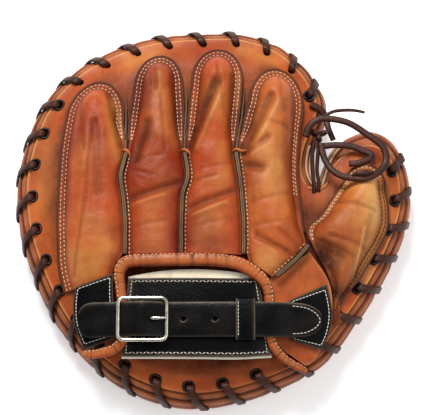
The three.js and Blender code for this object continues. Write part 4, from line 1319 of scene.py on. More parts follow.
@dataclass
class RimLace:
    """The lace that goes up through each hole, over the rim and in at its side."""

    form: MittForm
    width: float = 5.2
    thickness: float = 2.0
    flatness: float = 0.55  # of the section, as in Bar
    steps_per_row: int = 5
    # Share of a turn, inset, how much of the seam's inset is added, and height.
    turn: tuple[tuple[float, float, float, float], ...] = (
        (-0.01, 4.6, 1, 27.5),
        (0.03, 3.3, 1, 33.8),
        (0.10, 0.2, 1, 33.8),
        (0.17, -3.4, 1, 30.9),
        (0.25, 1.5, 0, 26.6),
        (0.34, 0.1, 0, 21.5),
        (0.44, -0.9, 0, 13.6),
        (0.49, 2.6, 0, 11.8),
        (0.54, 7.6, 0, 12.2),
    )

    def build(self) -> None:
        """Makes the lace as one long flat bar."""
        turns = np.repeat(np.arange(LACE_TURNS), len(self.turn))
        step = np.tile(np.array(self.turn), (LACE_TURNS, 1))
        places = self.form.places(self.form.lace_start + (turns + step[:, 0]) * self.form.lace_pitch)
        rows = places.at(step[:, 1] + step[:, 2] * places.row["seam"], step[:, 3])
        table = np.hstack([rows, places.along])
        course = Course(("x", "y", "z", "along_x", "along_y"), tuple(map(tuple, table)))
        read = course_path(course, (len(table) - 1) * self.steps_per_row)
        along = np.stack([read["along_x"], read["along_y"], np.zeros(len(read["x"]))], axis=1)
        bar = Bar(read["path"], self.width, self.thickness, along, self.flatness)
        finish_piece(bar.mesh(12), "rim_lace", LACE, ["perimeter_lace"])


# The fingers and the thumb.

STALL_COLUMNS = ("left_x", "left_y", "right_x", "right_y", "left_lift", "crown", "right_lift")


def hand_rows(left_seam: str, right_seam: str) -> tuple[tuple[float, ...], ...]:
    """Gives the rows of a finger's leather where it lies over the hand.

    Args:
        left_seam: The seam on its left, a column of the seams' table.
        right_seam: The seam on its right.

    Returns:
        Rows for the stall's table.
    """
    rows = []
    for values in SEAM_ROWS:
        at = dict(zip(SEAM_COLUMNS, values))
        left = at[left_seam] + SEAM_HALF_GAP
        right = at[right_seam] - SEAM_HALF_GAP
        rows.append((left, at["y"], right, at["y"], at["lift"], at["crown"], at["lift"]))
    return tuple(rows)


def seam_line(name: str) -> tuple[tuple[float, float, float], ...]:
    """Gives a seam over the hand.

    Args:
        name: Its column in the seams' table.

    Returns:
        Its points as x, y and lift.
    """
    table = [dict(zip(SEAM_COLUMNS, values)) for values in SEAM_ROWS]
    return tuple((at[name], at["y"], at["lift"]) for at in table)


LITTLE_ROWS = (
    (-102, -57, -69.5, -49, 0, 1.6, 2.5),
    (-106, -40, -66.8, -39.5, 0, 8, 7),
    (-107, -22, -61.1, -29.5, 0, 12, 8),
    (-107.5, 0, -61.9, 0, 0, 13, 8),
    (-107, 22, -64.6, 22, 0, 14, 8),
    (-106, 44, -61.1, 40, 0, 14, 5),
    (-103, 67, -63.5, 64, 0, 12, 0),
)
RING_TIP_ROWS = ((-58.5, 64, -20.5, 64, 0, 14, 0), (-55.5, 87, -22, 90, 0, 12, 0))
MIDDLE_TIP_ROWS = ((-17.5, 64, 17.5, 64, 0, 14, 0), (-14.5, 93, 20.5, 95, 0, 12, 0))
INDEX_ROWS = (
    (24.5, -37.5, 40.5, -49, 8, 9, 7),
    (21.9, -27, 52, -40, 8, 12, 7),
    (21.9, -12, 63.5, -29, 8, 13, 6),
    (20.7, 8, 61.5, -11, 8, 14, 2),
    (19.4, 22, 60, 10, 8, 14, 1),
    (16.9, 40, 59, 30, 5, 14, 1.5),
    (21, 62, 60, 50, 0, 14, 1.3),
    (26, 80, 63, 74, 0, 12, 0.4),
)
THUMB_ROWS = (
    (82.4, -70, 85.5, -68, 0, 1, 0),
    (82.4, -58, 90, -59, 1, 4, 0),
    (78, -44, 100, -48, 2, 8, 0),
    (69, -27, 109, -33, 3, 10, 0),
    (66, -13, 117, -20, 1.4, 11, 0),
    (75, -4, 121.5, -8, 1.4, 11, 0),
    (84, 10, 121.5, 4, 1.7, 11, 0),
    (92, 22, 119.5, 16, 1, 9, 0),
)


@dataclass
class Stall:
    """A finger's or the thumb's leather: a stitched hem, then a puffed crown over the finger."""

    form: MittForm
    node: str
    rows: tuple[tuple[float, ...], ...]
    tip: tuple[float, float]
    seed: float
    look: LeatherLook
    # Shares of the way round the outline.
    sewn_from: float = 0.0
    sewn_to: float = 1.0
    dark_from: float = 1.0
    outer_stitches: float = 1.7  # in from the outline
    inner_stitches: float = 0.5  # out from the hem's inner side
    stitch_lift: float = 0.12
    edge_width: float = 1.5
    edge_height: float = 1.9
    side_steps: int = 124
    arch_steps: int = 60
    rings: int = 34
    hem_rings: float = 0.36  # share of the rings that lie on the hem

    def __post_init__(self) -> None:
        """Walks round the outline, from the hand up the left side, round the tip and down the right side."""
        side = Course(STALL_COLUMNS, self.rows).at(np.linspace(0, 1, self.side_steps))
        spine_x = (side["left_x"] + side["right_x"]) / 2
        spine_y = (side["left_y"] + side["right_y"]) / 2
        centre = np.array([spine_x[-1], spine_y[-1]])
        edge = np.array([side["left_x"][-1], side["left_y"][-1]])
        angle = math.pi * np.arange(1, self.arch_steps) / self.arch_steps
        tip = np.array(self.tip)
        arch = centre + np.cos(angle)[:, None] * (edge - centre) + np.sin(angle)[:, None] * (tip - centre)
        count = len(angle)
        stretches = {
            "x": (side["left_x"], arch[:, 0], side["right_x"]),
            "y": (side["left_y"], arch[:, 1], side["right_y"]),
            "lift": (side["left_lift"], np.zeros(count), side["right_lift"]),
            "spine_x": (spine_x, np.full(count, centre[0]), spine_x),
            "spine_y": (spine_y, np.full(count, centre[1]), spine_y),
            "crown": (side["crown"], np.full(count, side["crown"][-1]), side["crown"]),
        }
        self.outline = {}
        for name, (up, over, down) in stretches.items():
            self.outline[name] = np.concatenate([up, over, down[::-1]])
        self.steps = len(self.outline["x"]) - 1

    def reach_and_hem(self, along: np.ndarray) -> tuple[dict[str, np.ndarray], np.ndarray, np.ndarray]:
        """Reads the outline.

        Args:
            along: Share round the outline.

        Returns:
            The outline's values, the way from it to the spine, and the hem's width.
        """
        numbers = np.arange(self.steps + 1)
        at = {name: np.interp(along * self.steps, numbers, column) for name, column in self.outline.items()}
        reach = np.hypot(at["spine_x"] - at["x"], at["spine_y"] - at["y"])
        hem = np.minimum(reach / 3, mix(HEM, 1.5, clamp01(at["lift"] / 4)))
        return at, reach, hem

    def surface(self, along: np.ndarray, inset: np.ndarray) -> Surface:
        """Gives the leather's top.

        Args:
            along: Share round the outline.
            inset: Distance in from the outline.

        Returns:
            The points, darker at the cut edge and along the stitched hem, with painted shade past the hem and
            in the folds, and painted highlights, partly rubbing, on the crown and the ridges.
        """
        at, reach, hem = self.reach_and_hem(along)
        share = clamp01(inset / reach)
        x = mix(at["x"], at["spine_x"], share)
        y = mix(at["y"], at["spine_y"], share)
        puffed = clamp01((inset - hem) / (reach - hem))
        rise = 0.03 * clamp01(inset / hem) + 0.97 * (1 - (1 - puffed) ** 3.0)
        lift = mix(at["lift"], at["crown"], rise)
        full = np.minimum(1, rise * 1.6)
        furrows = strokes_at(x, y, FURROWS)
        wrinkles = strokes_at(x, y, WRINKLES)
        z = self.form.back_height(x, y) + LEATHER + FIT_GAP + lift - (furrows + wrinkles) * full
        points = np.stack([x, y, z], axis=-1)
        swell = 0.75 * ripple(points, 16.0, self.seed) + 0.3 * ripple(points, 5.5, self.seed + 4)
        points[..., 2] += swell * full
        open_edge = 1 - clamp01(at["lift"] / 2)
        rows = bell(inset - 1.6, 0.6) + bell(inset - hem + 0.7, 0.7)
        points[..., 2] -= 0.4 * rows * open_edge
        # Painted shade past the hem and in the folds.
        valley = bell(inset - hem - 0.6, 1.6)
        edge_dirt = np.exp(-((inset / 0.7) ** 4))
        seams = open_edge * (0.35 * rows + 0.4 * (inset < hem))
        folds = 0.19 * np.maximum(furrows, 0) + 0.4 * np.maximum(wrinkles, 0)
        grime_and_shade = soft_limit(0.45 * valley + 0.95 * edge_dirt + seams + folds + strokes_at(x, y, SHADES))
        # Painted highlights, partly rubbing, on the crown and the ridges.
        crown = 0.3 * smooth_step(rise * 1.5 - 0.6) * clamp01(0.5 + ripple(points, 22.0, self.seed + 9))
        ridges = 0.8 * np.minimum(wrinkles, 0) + 0.35 * np.minimum(furrows, 0)
        wear_and_highlight = clamp01(crown - ridges + strokes_at(x, y, GLOWS))
        return Surface(points, grime_and_shade, wear_and_highlight)

    def inset_of(self, along: np.ndarray, share: np.ndarray) -> np.ndarray:
        """Spaces the rings, close together over the hem.

        Args:
            along: Share round the outline.
            share: Share of the rings passed.

        Returns:
            The distances in from the outline.
        """
        _, reach, hem = self.reach_and_hem(along)
        over_hem = clamp01(share / self.hem_rings) * hem
        beyond = clamp01((share - self.hem_rings) / (1 - self.hem_rings)) ** 1.5
        return over_hem + beyond * (reach - hem)

    def build(self, thread: Thread, dark_thread: Thread) -> None:
        """Makes the leather, and sews its hem where it lies on the back panel.

        Args:
            thread: The thread of its rows of stitches.
            dark_thread: The thread that takes over at dark_from.
        """

        def place(along: np.ndarray, share: np.ndarray) -> Surface:
            """Lays the leather from the outline to the spine."""
            return self.surface(along, self.inset_of(along, share))

        sheet = mapped_sheet(self.steps, self.rings, place)
        face_up(sheet)
        name = self.node + "_leather"
        finish_piece(sheet, name, self.look, [self.node], LEATHER * 0.9, RAW_EDGE)
        along = np.linspace(0, 1, 400)
        at, reach, hem = self.reach_and_hem(along)
        flat = (at["lift"] < 3) & (along >= self.sewn_from)
        for inset in (np.full(len(along), self.outer_stitches), hem - self.inner_stitches):
            line = self.surface(along, inset).points
            line[:, 2] += self.stitch_lift
            for run in split_runs(flat & (along <= min(self.sewn_to, self.dark_from))):
                thread.sew(line[run])
            for run in split_runs(flat & (along > self.dark_from)):
                dark_thread.sew(line[run])
        outward = np.stack([at["x"] - at["spine_x"], at["y"] - at["spine_y"], 0 * along], axis=1)
        edge = self.surface(along, 0 * along).points + 0.4 * outward / reach[:, None]
        edge[:, 2] -= 0.7
        for number, run in enumerate(split_runs(flat)):
            bar = Bar(edge[run], self.edge_width, self.edge_height, flatness=0.8)
            finish_piece(bar.mesh(8), f"{self.node}_edge_{number + 1}", RAW_EDGE)


def split_runs(chosen: np.ndarray) -> list[np.ndarray]:
    """Finds the unbroken stretches of a mask.

    Args:
        chosen: The mask.

    Returns:
        The numbers of each stretch.
    """
    numbers = np.flatnonzero(chosen)
    breaks = np.flatnonzero(np.diff(numbers) > 1) + 1
    return [run for run in np.split(numbers, breaks) if len(run)]


CROTCH_HALF_WIDTH = 5.5
CROTCH_LIFT = 0.6
CROTCH_SAG = -1.2
CROTCH_LINES = {
    "crotch_little_ring": ((-61, 69, 39.6), (-61, 52, 40.6), (-60.2, 37, 42.6)),
    "crotch_ring_middle": ((-19, 70, 39.6), (-19, 53, 40.6), (-19.6, 37, 42.6)),
    "crotch_middle_index": ((19.5, 69, 39.6), (18, 53, 40.6), (16, 37, 42.6)),
    "crotch_index_thumb": ((62, -8, 40), (66, -28, 39.4), (74, -46, 38.6), (80.5, -62, 38), (82, -80, 36.5)),
}


def build_crotches() -> None:
    """Makes the folds of leather that close the crotches between the fingers, darkened with painted shade."""
    for name, line in CROTCH_LINES.items():
        points = np.array(line, dtype=float)
        ahead = np.gradient(points, axis=0)
        sides = unit(np.stack([-ahead[:, 1], ahead[:, 0]], axis=1)) * CROTCH_HALF_WIDTH
        rows = []
        for (x, y, z), (side_x, side_y) in zip(points, sides):
            height = z + CROTCH_LIFT
            rows.append((x - side_x, y - side_y, height, x + side_x, y + side_y, height, CROTCH_SAG))
        # The crotches' folds are darkened with painted shade.
        fold = Strip(Course(STRIP_COLUMNS, tuple(rows)), ripple_height=0.5, seed=2.0, painted_shade=0.75)
        finish_piece(fold.sheet(40, 14), name, TAN, thickness=1.0)


@dataclass
class SeamWelt:
    """A dark strip of leather, with light piping, that stands over the seam between two leathers."""

    form: MittForm
    name: str
    line: tuple[tuple[float, float, float], ...]  # x, y and lift
    stands_for: tuple[str, ...] = ()
    width: float = 3.5
    height: float = 2.6
    foot: float = 1.4  # from the leathers to the strip's middle
    piping: float = 0.8
    piping_sides: tuple[float, ...] = (-0.75, 0.75)
    piping_rise: float = 0.385  # share of the strip's height
    stitches_beside: float = 2.9
    stitches_below: float = 0.9
    end_share: float = 1.0  # how much of the width is left at the line's end
    steps: int = 60

    def build(self, thread: Thread | None = None) -> None:
        """Makes the welt and its piping, and sews along its right side.

        Args:
            thread: The thread, or None for a welt without stitches.
        """
        x, y, lift = np.array(self.line, dtype=float).T
        z = self.form.back_height(x, y) + LEATHER + 2 * FIT_GAP + lift + self.foot
        rows = tuple(map(tuple, np.stack([x, y, z], axis=1)))
        path = course_path(Course(("x", "y", "z"), rows), self.steps)["path"]
        taper = mix(1.0, self.end_share, np.linspace(0, 1, len(path)) ** 2)
        bar = Bar(path, self.width * taper, self.height, flatness=0.8)
        across, up = bar.frames()
        bar.path = path + across * (0.25 * ripple(path, 6.0, 2.0))[:, None]
        finish_piece(bar.mesh(14), self.name + "_strip", WELT, self.stands_for)
        top = bar.path + up * self.piping_rise * self.height
        for number, side in enumerate(self.piping_sides):
            piping = Bar(top + across * side, self.piping * taper, self.piping * taper)
            finish_piece(piping.mesh(8), f"{self.name}_piping_{number + 1}", PIPING)
        if thread:
            thread.sew(bar.path - across * self.stitches_beside - np.array([0, 0, self.stitches_below]))


# Between the fingers, from the crotch towards the tips: x, y and lift.
VALLEY_LINES = {
    "valley_little_ring": ((-60.6, 43, 2), (-61, 52, -1), (-61, 66, -2), (-60.4, 82, -5.4)),
    "valley_ring_middle": ((-19.8, 43, 2), (-19.6, 54, -1), (-18.8, 72, -2), (-18, 92, -5.4)),
    "valley_middle_index": ((16.4, 43, 2), (18, 54, -1), (20.6, 70, -2), (22.6, 90, -5.4)),
}
# Small rolls of light leather in the crotches: x, y and z.
CROTCH_ROLLS = {
    "crotch_roll_little_ring": (
        (-63, 41.5, 48.4), (-60.8, 41.6, 50.2), (-58.4, 39.6, 50.2), (-57.6, 36.5, 48.4),
    ),
    "crotch_roll_ring_middle": ((-22.4, 41.5, 48.4), (-20, 41.8, 50.4), (-17, 40, 50.6), (-15.6, 37, 49)),
    "crotch_roll_middle_index": ((13.6, 41, 48.4), (16.4, 42, 50.4), (20, 40.6, 50.8), (23.4, 41.5, 49)),
}


def build_valleys(form: MittForm) -> None:
    """Makes the narrow welts between the fingers and the rolls of leather at their feet.

    Args:
        form: The mitt's form.
    """
    for name, line in VALLEY_LINES.items():
        welt = SeamWelt(form, name, line, width=2.8, height=2.0, piping_sides=(0.3,), end_share=0.15)
        welt.build()
    for name, line in CROTCH_ROLLS.items():
        read = course_path(Course(("x", "y", "z"), line), 24)
        taper = 1.0 + 1.1 * np.sin(np.linspace(0.1, math.pi - 0.1, 25))
        roll = Bar(read["path"], taper, taper)
        finish_piece(roll.mesh(12), name, HONEY)


# The wrist opening.


@dataclass
class Strip:
    """A strip of leather between two edges, whose rise lifts its middle."""

    course: Course
    ripple_size: float = 11.0
    ripple_height: float = 0.25
    seed: float = 1.0
    # How much painted shade darkens the whole strip.
    painted_shade: float = 0.0
    stitch_lift: float = 0.15

    def surface(self, along: np.ndarray, across: np.ndarray) -> Surface:
        """Gives the strip's top.

        Args:
            along: Shares along it.
            across: Shares across it.

        Returns:
            The top, lighter at its rubbed edges, and darkened all over by its painted shade.
        """
        at = self.course.at(along)
        arch = 1 - (2 * across - 1) ** 2
        points = np.stack(
            [
                mix(at["left_x"], at["right_x"], across),
                mix(at["left_y"], at["right_y"], across),
                mix(at["left_z"], at["right_z"], across) + at["rise"] * arch,
            ],
            axis=-1,
        )
        points[..., 2] += self.ripple_height * (ripple(points, self.ripple_size, self.seed) - 0.5)
        edge = np.minimum(np.minimum(across, 1 - across), np.minimum(along, 1 - along))
        return Surface(points, self.painted_shade, 0.6 * np.exp(-edge / 0.02))

    def line(self, start: tuple[float, float], end: tuple[float, float], steps: int = 80) -> np.ndarray:
        """Lays a straight run over the strip.

        Args:
            start: Where it begins, as shares along and across.
            end: Where it ends.
            steps: How many points it has.

        Returns:
            The points.
        """
        share = np.linspace(0, 1, steps)
        along = mix(start[0], end[0], share)
        across = mix(start[1], end[1], share)
        points = self.surface(along, across).points
        points[:, 2] += self.stitch_lift
        return points

    def sheet(self, columns: int, rows: int) -> bmesh.types.BMesh:
        """Makes the strip.

        Args:
            columns: Faces along it.
            rows: Faces across it.

        Returns:
            An open sheet that looks up.
        """
        sheet = mapped_sheet(columns, rows, self.surface)
        face_up(sheet)
        return sheet


STRIP_COLUMNS = ("left_x", "left_y", "left_z", "right_x", "right_y", "right_z", "rise")
GUSSET_ROWS = (
    (39, -49, 46.5, 66.5, -30.5, 45.5, 0.5),
    (39, -66, 45.6, 80, -52, 42.6, 0.5),
    (40, -84, 43.8, 81, -78, 40.8, 0.5),
    (46, -96, 42.8, 73, -98, 39.4, 0.5),
    (62, -107.8, 39.4, 66, -107.2, 38.8, 0),
)
PATCH_LEFT_ROWS = (
    (-94, -55, 45, -68.3, -46.2, 49, 0.4),
    (-95.5, -66, 44.6, -68.2, -60, 48.6, 0.4),
    (-94.5, -81, 43.6, -66.8, -78, 48, 0.4),
    (-87.5, -98, 41.4, -66, -90.5, 46.6, 0.2),
)
PATCH_RIGHT_ROWS = (
    (52, -65, 48, 78, -53, 46.2, 0.3),
    (51, -74, 47.6, 81.5, -72, 45, 0.3),
    (51.5, -84, 47, 79.5, -86, 44, 0.3),
    (53, -92, 46, 74, -98, 43, 0.2),
)
# x, y and z of the binding's middle, with its width and height, from the left end to the right.
BINDING_ROWS = (
    (-89, -99.8, 38.5, 3, 2),
    (-84, -100.8, 41.4, 5.4, 2.6),
    (-76, -100.6, 44.2, 6.2, 3.2),
    (-67, -98, 46.8, 6.6, 3.8),
    (-60.4, -91.5, 49, 6.6, 3.8),
    (-60, -80, 49.2, 6.6, 3.4),
    (-61.5, -68, 49.2, 6.6, 3.4),
    (-63, -56, 49.4, 6.8, 4),
    (-64, -47.5, 50, 7.4, 4.6),
    (-62, -41.2, 50.5, 8.8, 5),
    (-56, -37.8, 51, 8.8, 5),
    (-40, -37.3, 52, 8.8, 5),
    (-20, -37.2, 53, 8.8, 5),
    (0, -37.5, 53, 8.8, 5),
    (14, -39.2, 52.5, 8.8, 5),
    (25, -43.7, 51.5, 8.8, 5),
    (33, -50, 50.4, 8, 5),
    (37.5, -58, 49.6, 6.8, 4.2),
    (38.2, -70, 49, 6.6, 3.4),
    (38, -84, 49, 6.4, 3.4),
    (40, -94, 48, 6, 3.8),
    (46, -102, 44.8, 5.6, 3.4),
    (52.5, -106.8, 41.6, 5.4, 3),
    (58.5, -109.6, 39.2, 5, 2.4),
    (63.5, -111.8, 35.4, 3.8, 2.2),
)
# The band's upper x and y, then its lower ones.
BAND_ROWS = (
    (-58, -49, -62, -103),
    (-36, -49.3, -38, -103.6),
    (-12, -49.6, -11, -104),
    (12, -49.6, 16, -104),
    (31, -49.3, 40, -102.2),
)


@dataclass
class WristOpening:
    """The gusset, the rolled binding round the opening, and the black band with its cream lining."""

    form: MittForm
    band_crown: float = 51.0
    band_curve: float = 4.2
    lining_above: float = 6.4  # how far the lining shows beyond the band
    lining_below: float = 1.2
    lining_thickness: float = 1.2
    binding_steps: int = 640
    binding_length: float = 330.0  # about, for the spacing of its pleats
    binding_extra: float = 0.4  # leather round the rolled core

    def band_height(self, x: float) -> float:
        """Gives the height of the band over the wrist."""
        return self.band_crown - self.band_curve * ((x + 12) / 48) ** 2

    def band_strip(self, above: float, below: float, drop: float) -> Strip:
        """Lays out the band, or the lining under it.

        Args:
            above: How far it reaches beyond the band's upper edge.
            below: How far it reaches beyond the lower edge.
            drop: How far it lies below the band's top.

        Returns:
            The strip.
        """
        rows = []
        for x, top_y, bottom_x, bottom_y in BAND_ROWS:
            low = self.band_height(bottom_x) - drop - 1
            high = self.band_height(x) - drop - 0.5
            bow = 1 - 0.75 * ((x + 12) / 46) ** 2
            rows.append((bottom_x, bottom_y - below, low, x, top_y + above * bow, high, 0.8))
        return Strip(Course(STRIP_COLUMNS, tuple(rows)), ripple_height=0.2, seed=5.0)

    def build(self, thread: Thread, band_thread: Thread) -> None:
        """Makes the pieces and sews them.

        Args:
            thread: The binding's thread.
            band_thread: The band's thread.
        """
        gusset = Strip(Course(STRIP_COLUMNS, GUSSET_ROWS), ripple_height=0.5, seed=8.0).sheet(60, 40)
        finish_piece(
            gusset, "thumb_gusset_leather", AMBER, ["thumb_gusset"], LEATHER, RAW_EDGE
        )
        band = self.band_strip(0, 0, 0)
        finish_piece(
            band.sheet(90, 50), "wrist_band_leather", BLACK, ["wrist_band"], LEATHER
        )
        drop = self.lining_thickness + FIT_GAP
        lining = self.band_strip(self.lining_above, self.lining_below, drop)
        finish_piece(
            lining.sheet(90, 40),
            "wrist_band_cream_lining",
            CREAM,
            ["wrist_band_lining"],
            self.lining_thickness,
        )
        for across in (0.045, 0.955):
            band_thread.sew(band.line((0.02, across), (0.98, across), 160), slant=0.5)
        for along in (0.03, 0.97):
            band_thread.sew(band.line((along, 0.06), (along, 0.94)))
        self.build_binding(thread)

    def build_binding(self, thread: Thread) -> None:
        """Makes the puckered binding and sews along its outer side.

        Args:
            thread: The thread.
        """
        core = routed_bar(BINDING_ROWS, self.binding_steps, 0.8)
        across, up = core.frames()
        along = self.binding_length * np.linspace(0, 1, self.binding_steps + 1)
        along = np.stack([along, 0 * along, 0 * along], axis=1)
        pleats = ripple(along, 2.3, 1.0)
        bends = ripple(along, 12.0, 5.0)
        line = core.path + across * bends[:, None] * 0.6
        roll = Bar(line, core.width + self.binding_extra, core.height + self.binding_extra, flatness=0.8)

        def swell(angle: np.ndarray, share: np.ndarray) -> np.ndarray:
            """Draws the leather in at each pleat, most of all on the outer side.

            Args:
                angle: The angle round the section.
                share: Share of the way along the binding.

            Returns:
                How much thicker the binding is.
            """
            near = np.rint(share * self.binding_steps).astype(int)
            lines = np.minimum(pleats[near], 0.1) * (0.35 + 0.65 * np.cos(angle / 2) ** 2)
            return 0.3 * lines + 0.08 * bends[near]

        name = "binding_leather_roll"
        finish_piece(roll.mesh(16, swell), name, BINDING, ["opening_binding"])
        side = across * (0.36 * core.width)[:, None] + up * (0.44 * core.height)[:, None]
        thread.sew((core.path + side)[8:-8], slant=0.35)


# Strap and buckle.

# x, the height of the strap's middle, and half its width.
STRAP_ROWS = (
    (-91.5, 47.9, 5),
    (-89, 48.2, 9.5),
    (-84, 49, 12),
    (-74, 51, 12),
    (-64, 52.5, 12),
    (-57, 54.2, 12),
    (-47.7, 56.4, 12),
    (-39, 54.6, 12),
    (-31.3, 52.6, 12),
    (-20, 52.6, 12),
    (-8, 53, 12),
    (8, 53.1, 12),
    (22, 53.2, 12),
    (34, 52.8, 12),
    (44, 51.9, 12),
    (54, 50, 12),
    (64, 48.9, 11),
    (71, 48.4, 7.5),
    (74, 48.2, 3.5),
)


@dataclass
class StrapSet:
    """The two patches, the strap with its holes, the keeper and the buckle."""

    strap_thickness: float = 2.2
    patch_thickness: float = 1.6
    hole_radius: float = 1.7
    holes: tuple[float, ...] = (-42, -20, 1.5)
    end_share: float = 0.84  # where along the strap the stitches of its right end begin
    end_stitches: float = 2.4  # in from the strap's edge
    keeper_left: float = 15.5
    keeper_width: float = 13.0
    keeper_half: float = 14.2
    keeper_bottom: float = 50.2
    keeper_top: float = 56.4
    keeper_corner: float = 1.5
    keeper_thickness: float = 1.3
    buckle_x: float = -47.7
    buckle_z: float = 55.1
    buckle_width: float = 35.5
    buckle_height: float = 31.5
    wire: float = 2.6
    centre_bar: float = 2.3
    centre_bar_z: float = 52.0
    corner: float = 4.0
    tab_width: float = 14.0
    tab_thickness: float = 1.1
    tab_loop: float = 2.4
    tab_reach: float = 9.0
    prong_rows: tuple[tuple[float, ...], ...] = (
        (-44, STRAP_Y, 51.6, 2.0, 1.6),
        (-42.2, STRAP_Y, 53.2, 2.1, 1.8),
        (-41.6, STRAP_Y, 57.2, 2.1, 1.8),
        (-38.5, STRAP_Y, 58, 2.1, 1.8),
        (-30.8, STRAP_Y, 57.8, 1.5, 1.3),
    )

    def build(self, thread: Thread) -> None:
        """Makes everything in this set.

        Args:
            thread: The thread.
        """
        for node, rows in (("patch_left", PATCH_LEFT_ROWS), ("patch_right", PATCH_RIGHT_ROWS)):
            patch = Strip(Course(STRIP_COLUMNS, rows), ripple_height=0.2, seed=6.0)
            sheet = patch.sheet(40, 36)
            finish_piece(sheet, node + "_leather", BLACK, [node], self.patch_thickness)
            corners = [(0.06, 0.08), (0.06, 0.92), (0.93, 0.92), (0.93, 0.08), (0.06, 0.08)]
            for start, end in zip(corners, corners[1:]):
                thread.sew(patch.line(start, end, 60))
        self.build_strap(thread)
        self.build_keeper(thread)
        self.build_buckle()
        self.build_prong()
        self.build_tab()

    def build_strap(self, thread: Thread) -> None:
        """Makes the strap, punches its holes and sews its right end.

        Args:
            thread: The thread.
        """
        course = Course(("x", "z", "half"), STRAP_ROWS)

        def place(along: np.ndarray, across: np.ndarray) -> Surface:
            """Lays the strap's top.

            Args:
                along: Share of its length.
                across: Share of its width.

            Returns:
                The top, lighter at its rubbed edges, with a painted highlight on the upper one, and lighter
                at the lower rims of the free holes.
            """
            at = course.at(along)
            side = 2 * across - 1
            z = at["z"] + self.strap_thickness / 2 - 0.5 * np.abs(side) ** 6
            points = np.stack([at["x"], STRAP_Y + side * at["half"], z], axis=-1)
            points[..., 2] += 0.12 * ripple(points, 9.0, 3.0)
            # Lighter edges, with a painted highlight along the upper one.
            edge = np.exp(-(1 - np.abs(side)) / 0.05)
            scuff = 0.045 * clamp01(0.4 + ripple(points, 14.0, 8.0))
            for x in self.holes[1:]:
                from_hole = np.hypot(points[:, 0] - x, points[:, 1] - STRAP_Y)
                scuff = scuff + bell(from_hole - self.hole_radius, 0.6) * (side < 0)
            return Surface(points, 0.0, clamp01(0.8 * edge * (side > 0) + 0.25 * edge + scuff))

        sheet = mapped_sheet(190, 28, place)
        for x in self.holes:
            punch(sheet, x, STRAP_Y, self.hole_radius)
        face_up(sheet)
        finish_piece(sheet, "strap_leather", BLACK, ["strap"], self.strap_thickness)
        at = course.at(np.linspace(self.end_share, 1, 40))
        half = np.maximum(at["half"] - self.end_stitches, 0)
        upper = np.stack([at["x"] - 1.5, STRAP_Y + half, at["z"] + 1.2], axis=1)
        lower = upper * np.array([1, -1, 1]) + 2 * STRAP_Y * ALONG_Y
        thread.sew(np.vstack([upper, lower[::-1]]))

    def build_keeper(self, thread: Thread) -> None:
        """Makes the loop round the strap and sews its left side.

        Args:
            thread: The thread.
        """
        height = self.keeper_top - self.keeper_bottom
        middle = (self.keeper_top + self.keeper_bottom) / 2
        ring = rounded_rectangle(2 * self.keeper_half, height, self.keeper_corner, 5)
        ring = np.vstack([ring, ring[:1]])

        def place(around: np.ndarray, along: np.ndarray) -> Surface:
            """Lays the loop's outside.

            Args:
                around: Share of the way round the strap.
                along: Share of the loop's width.

            Returns:
                The outside, lighter at its rubbed edges.
            """
            step = np.rint(around * (len(ring) - 1)).astype(int)
            x = self.keeper_left + along * self.keeper_width
            points = np.stack([x, STRAP_Y + ring[step, 0], middle + ring[step, 1]], axis=-1)
            edge = np.minimum(along, 1 - along)
            return Surface(points, 0.0, 0.7 * np.exp(-edge / 0.05))

        sheet = mapped_sheet(len(ring) - 1, 12, place)
        sheet.normal_update()
        outward = sum(face.normal.z * (face.calc_center_median().z - middle) for face in sheet.faces)
        if outward < 0:
            bmesh.ops.reverse_faces(sheet, faces=sheet.faces)
        finish_piece(
            sheet, "keeper_leather", BLACK, ["keeper_loop"], self.keeper_thickness
        )
        row_x = self.keeper_left + 1.6
        row_z = self.keeper_top + 0.1
        thread.sew(np.array([[row_x, STRAP_Y + y, row_z] for y in np.linspace(-12, 12, 20)]))

    def build_buckle(self) -> None:
        """Makes the buckle's frame and the lower bar across its middle."""
        width = self.buckle_width - self.wire
        height = self.buckle_height - self.wire
        outline = rounded_rectangle(width, height, self.corner, 8)
        centre = np.array([self.buckle_x, STRAP_Y, self.buckle_z])
        path = np.hstack([outline, np.zeros((len(outline), 1))]) + centre
        hoop = Bar(path, self.wire, self.wire, flatness=0.8, closed=True)
        reach = np.linspace(-1, 1, 25)
        drop = (self.buckle_z - self.centre_bar_z) * smooth_step((1 - np.abs(reach)) / 0.12)
        bar_x = np.full(len(reach), self.buckle_x)
        path = np.stack([bar_x, STRAP_Y + reach * height / 2, self.buckle_z - drop], axis=1)
        bar = Bar(path, self.centre_bar, self.centre_bar, across=ALONG_X)
        finish_piece(hoop.mesh(16), "buckle_hoop", NICKEL, ["buckle_frame"])
        finish_piece(bar.mesh(12), "buckle_centre_bar", NICKEL, ["buckle_frame"])

    def build_prong(self) -> None:
        """Makes the prong."""
        prong = routed_bar(self.prong_rows, 40, 0.85, ALONG_Y)
        finish_piece(prong.mesh(12), "buckle_prong_bar", NICKEL, ["buckle_prong"])

    def build_tab(self) -> None:
        """Makes the leather tab that goes round the lower bar and holds it."""
        turn = np.linspace(-0.5, 1.5, 30) * math.pi
        loop_x = self.buckle_x - self.tab_loop * np.sin(turn)
        loop_z = self.centre_bar_z + self.tab_loop * np.cos(turn)
        loop = np.stack([loop_x, np.full(30, STRAP_Y), loop_z], axis=1)[::-1]
        end = [[self.buckle_x + self.tab_reach, STRAP_Y, self.centre_bar_z - 1.6]]
        path = np.vstack([loop[6:], end])
        tab = Bar(path, self.tab_width, self.tab_thickness, across=ALONG_Y, flatness=0.3)
        finish_piece(tab.mesh(16), "buckle_tab_leather", BLACK, ["buckle_tab"])


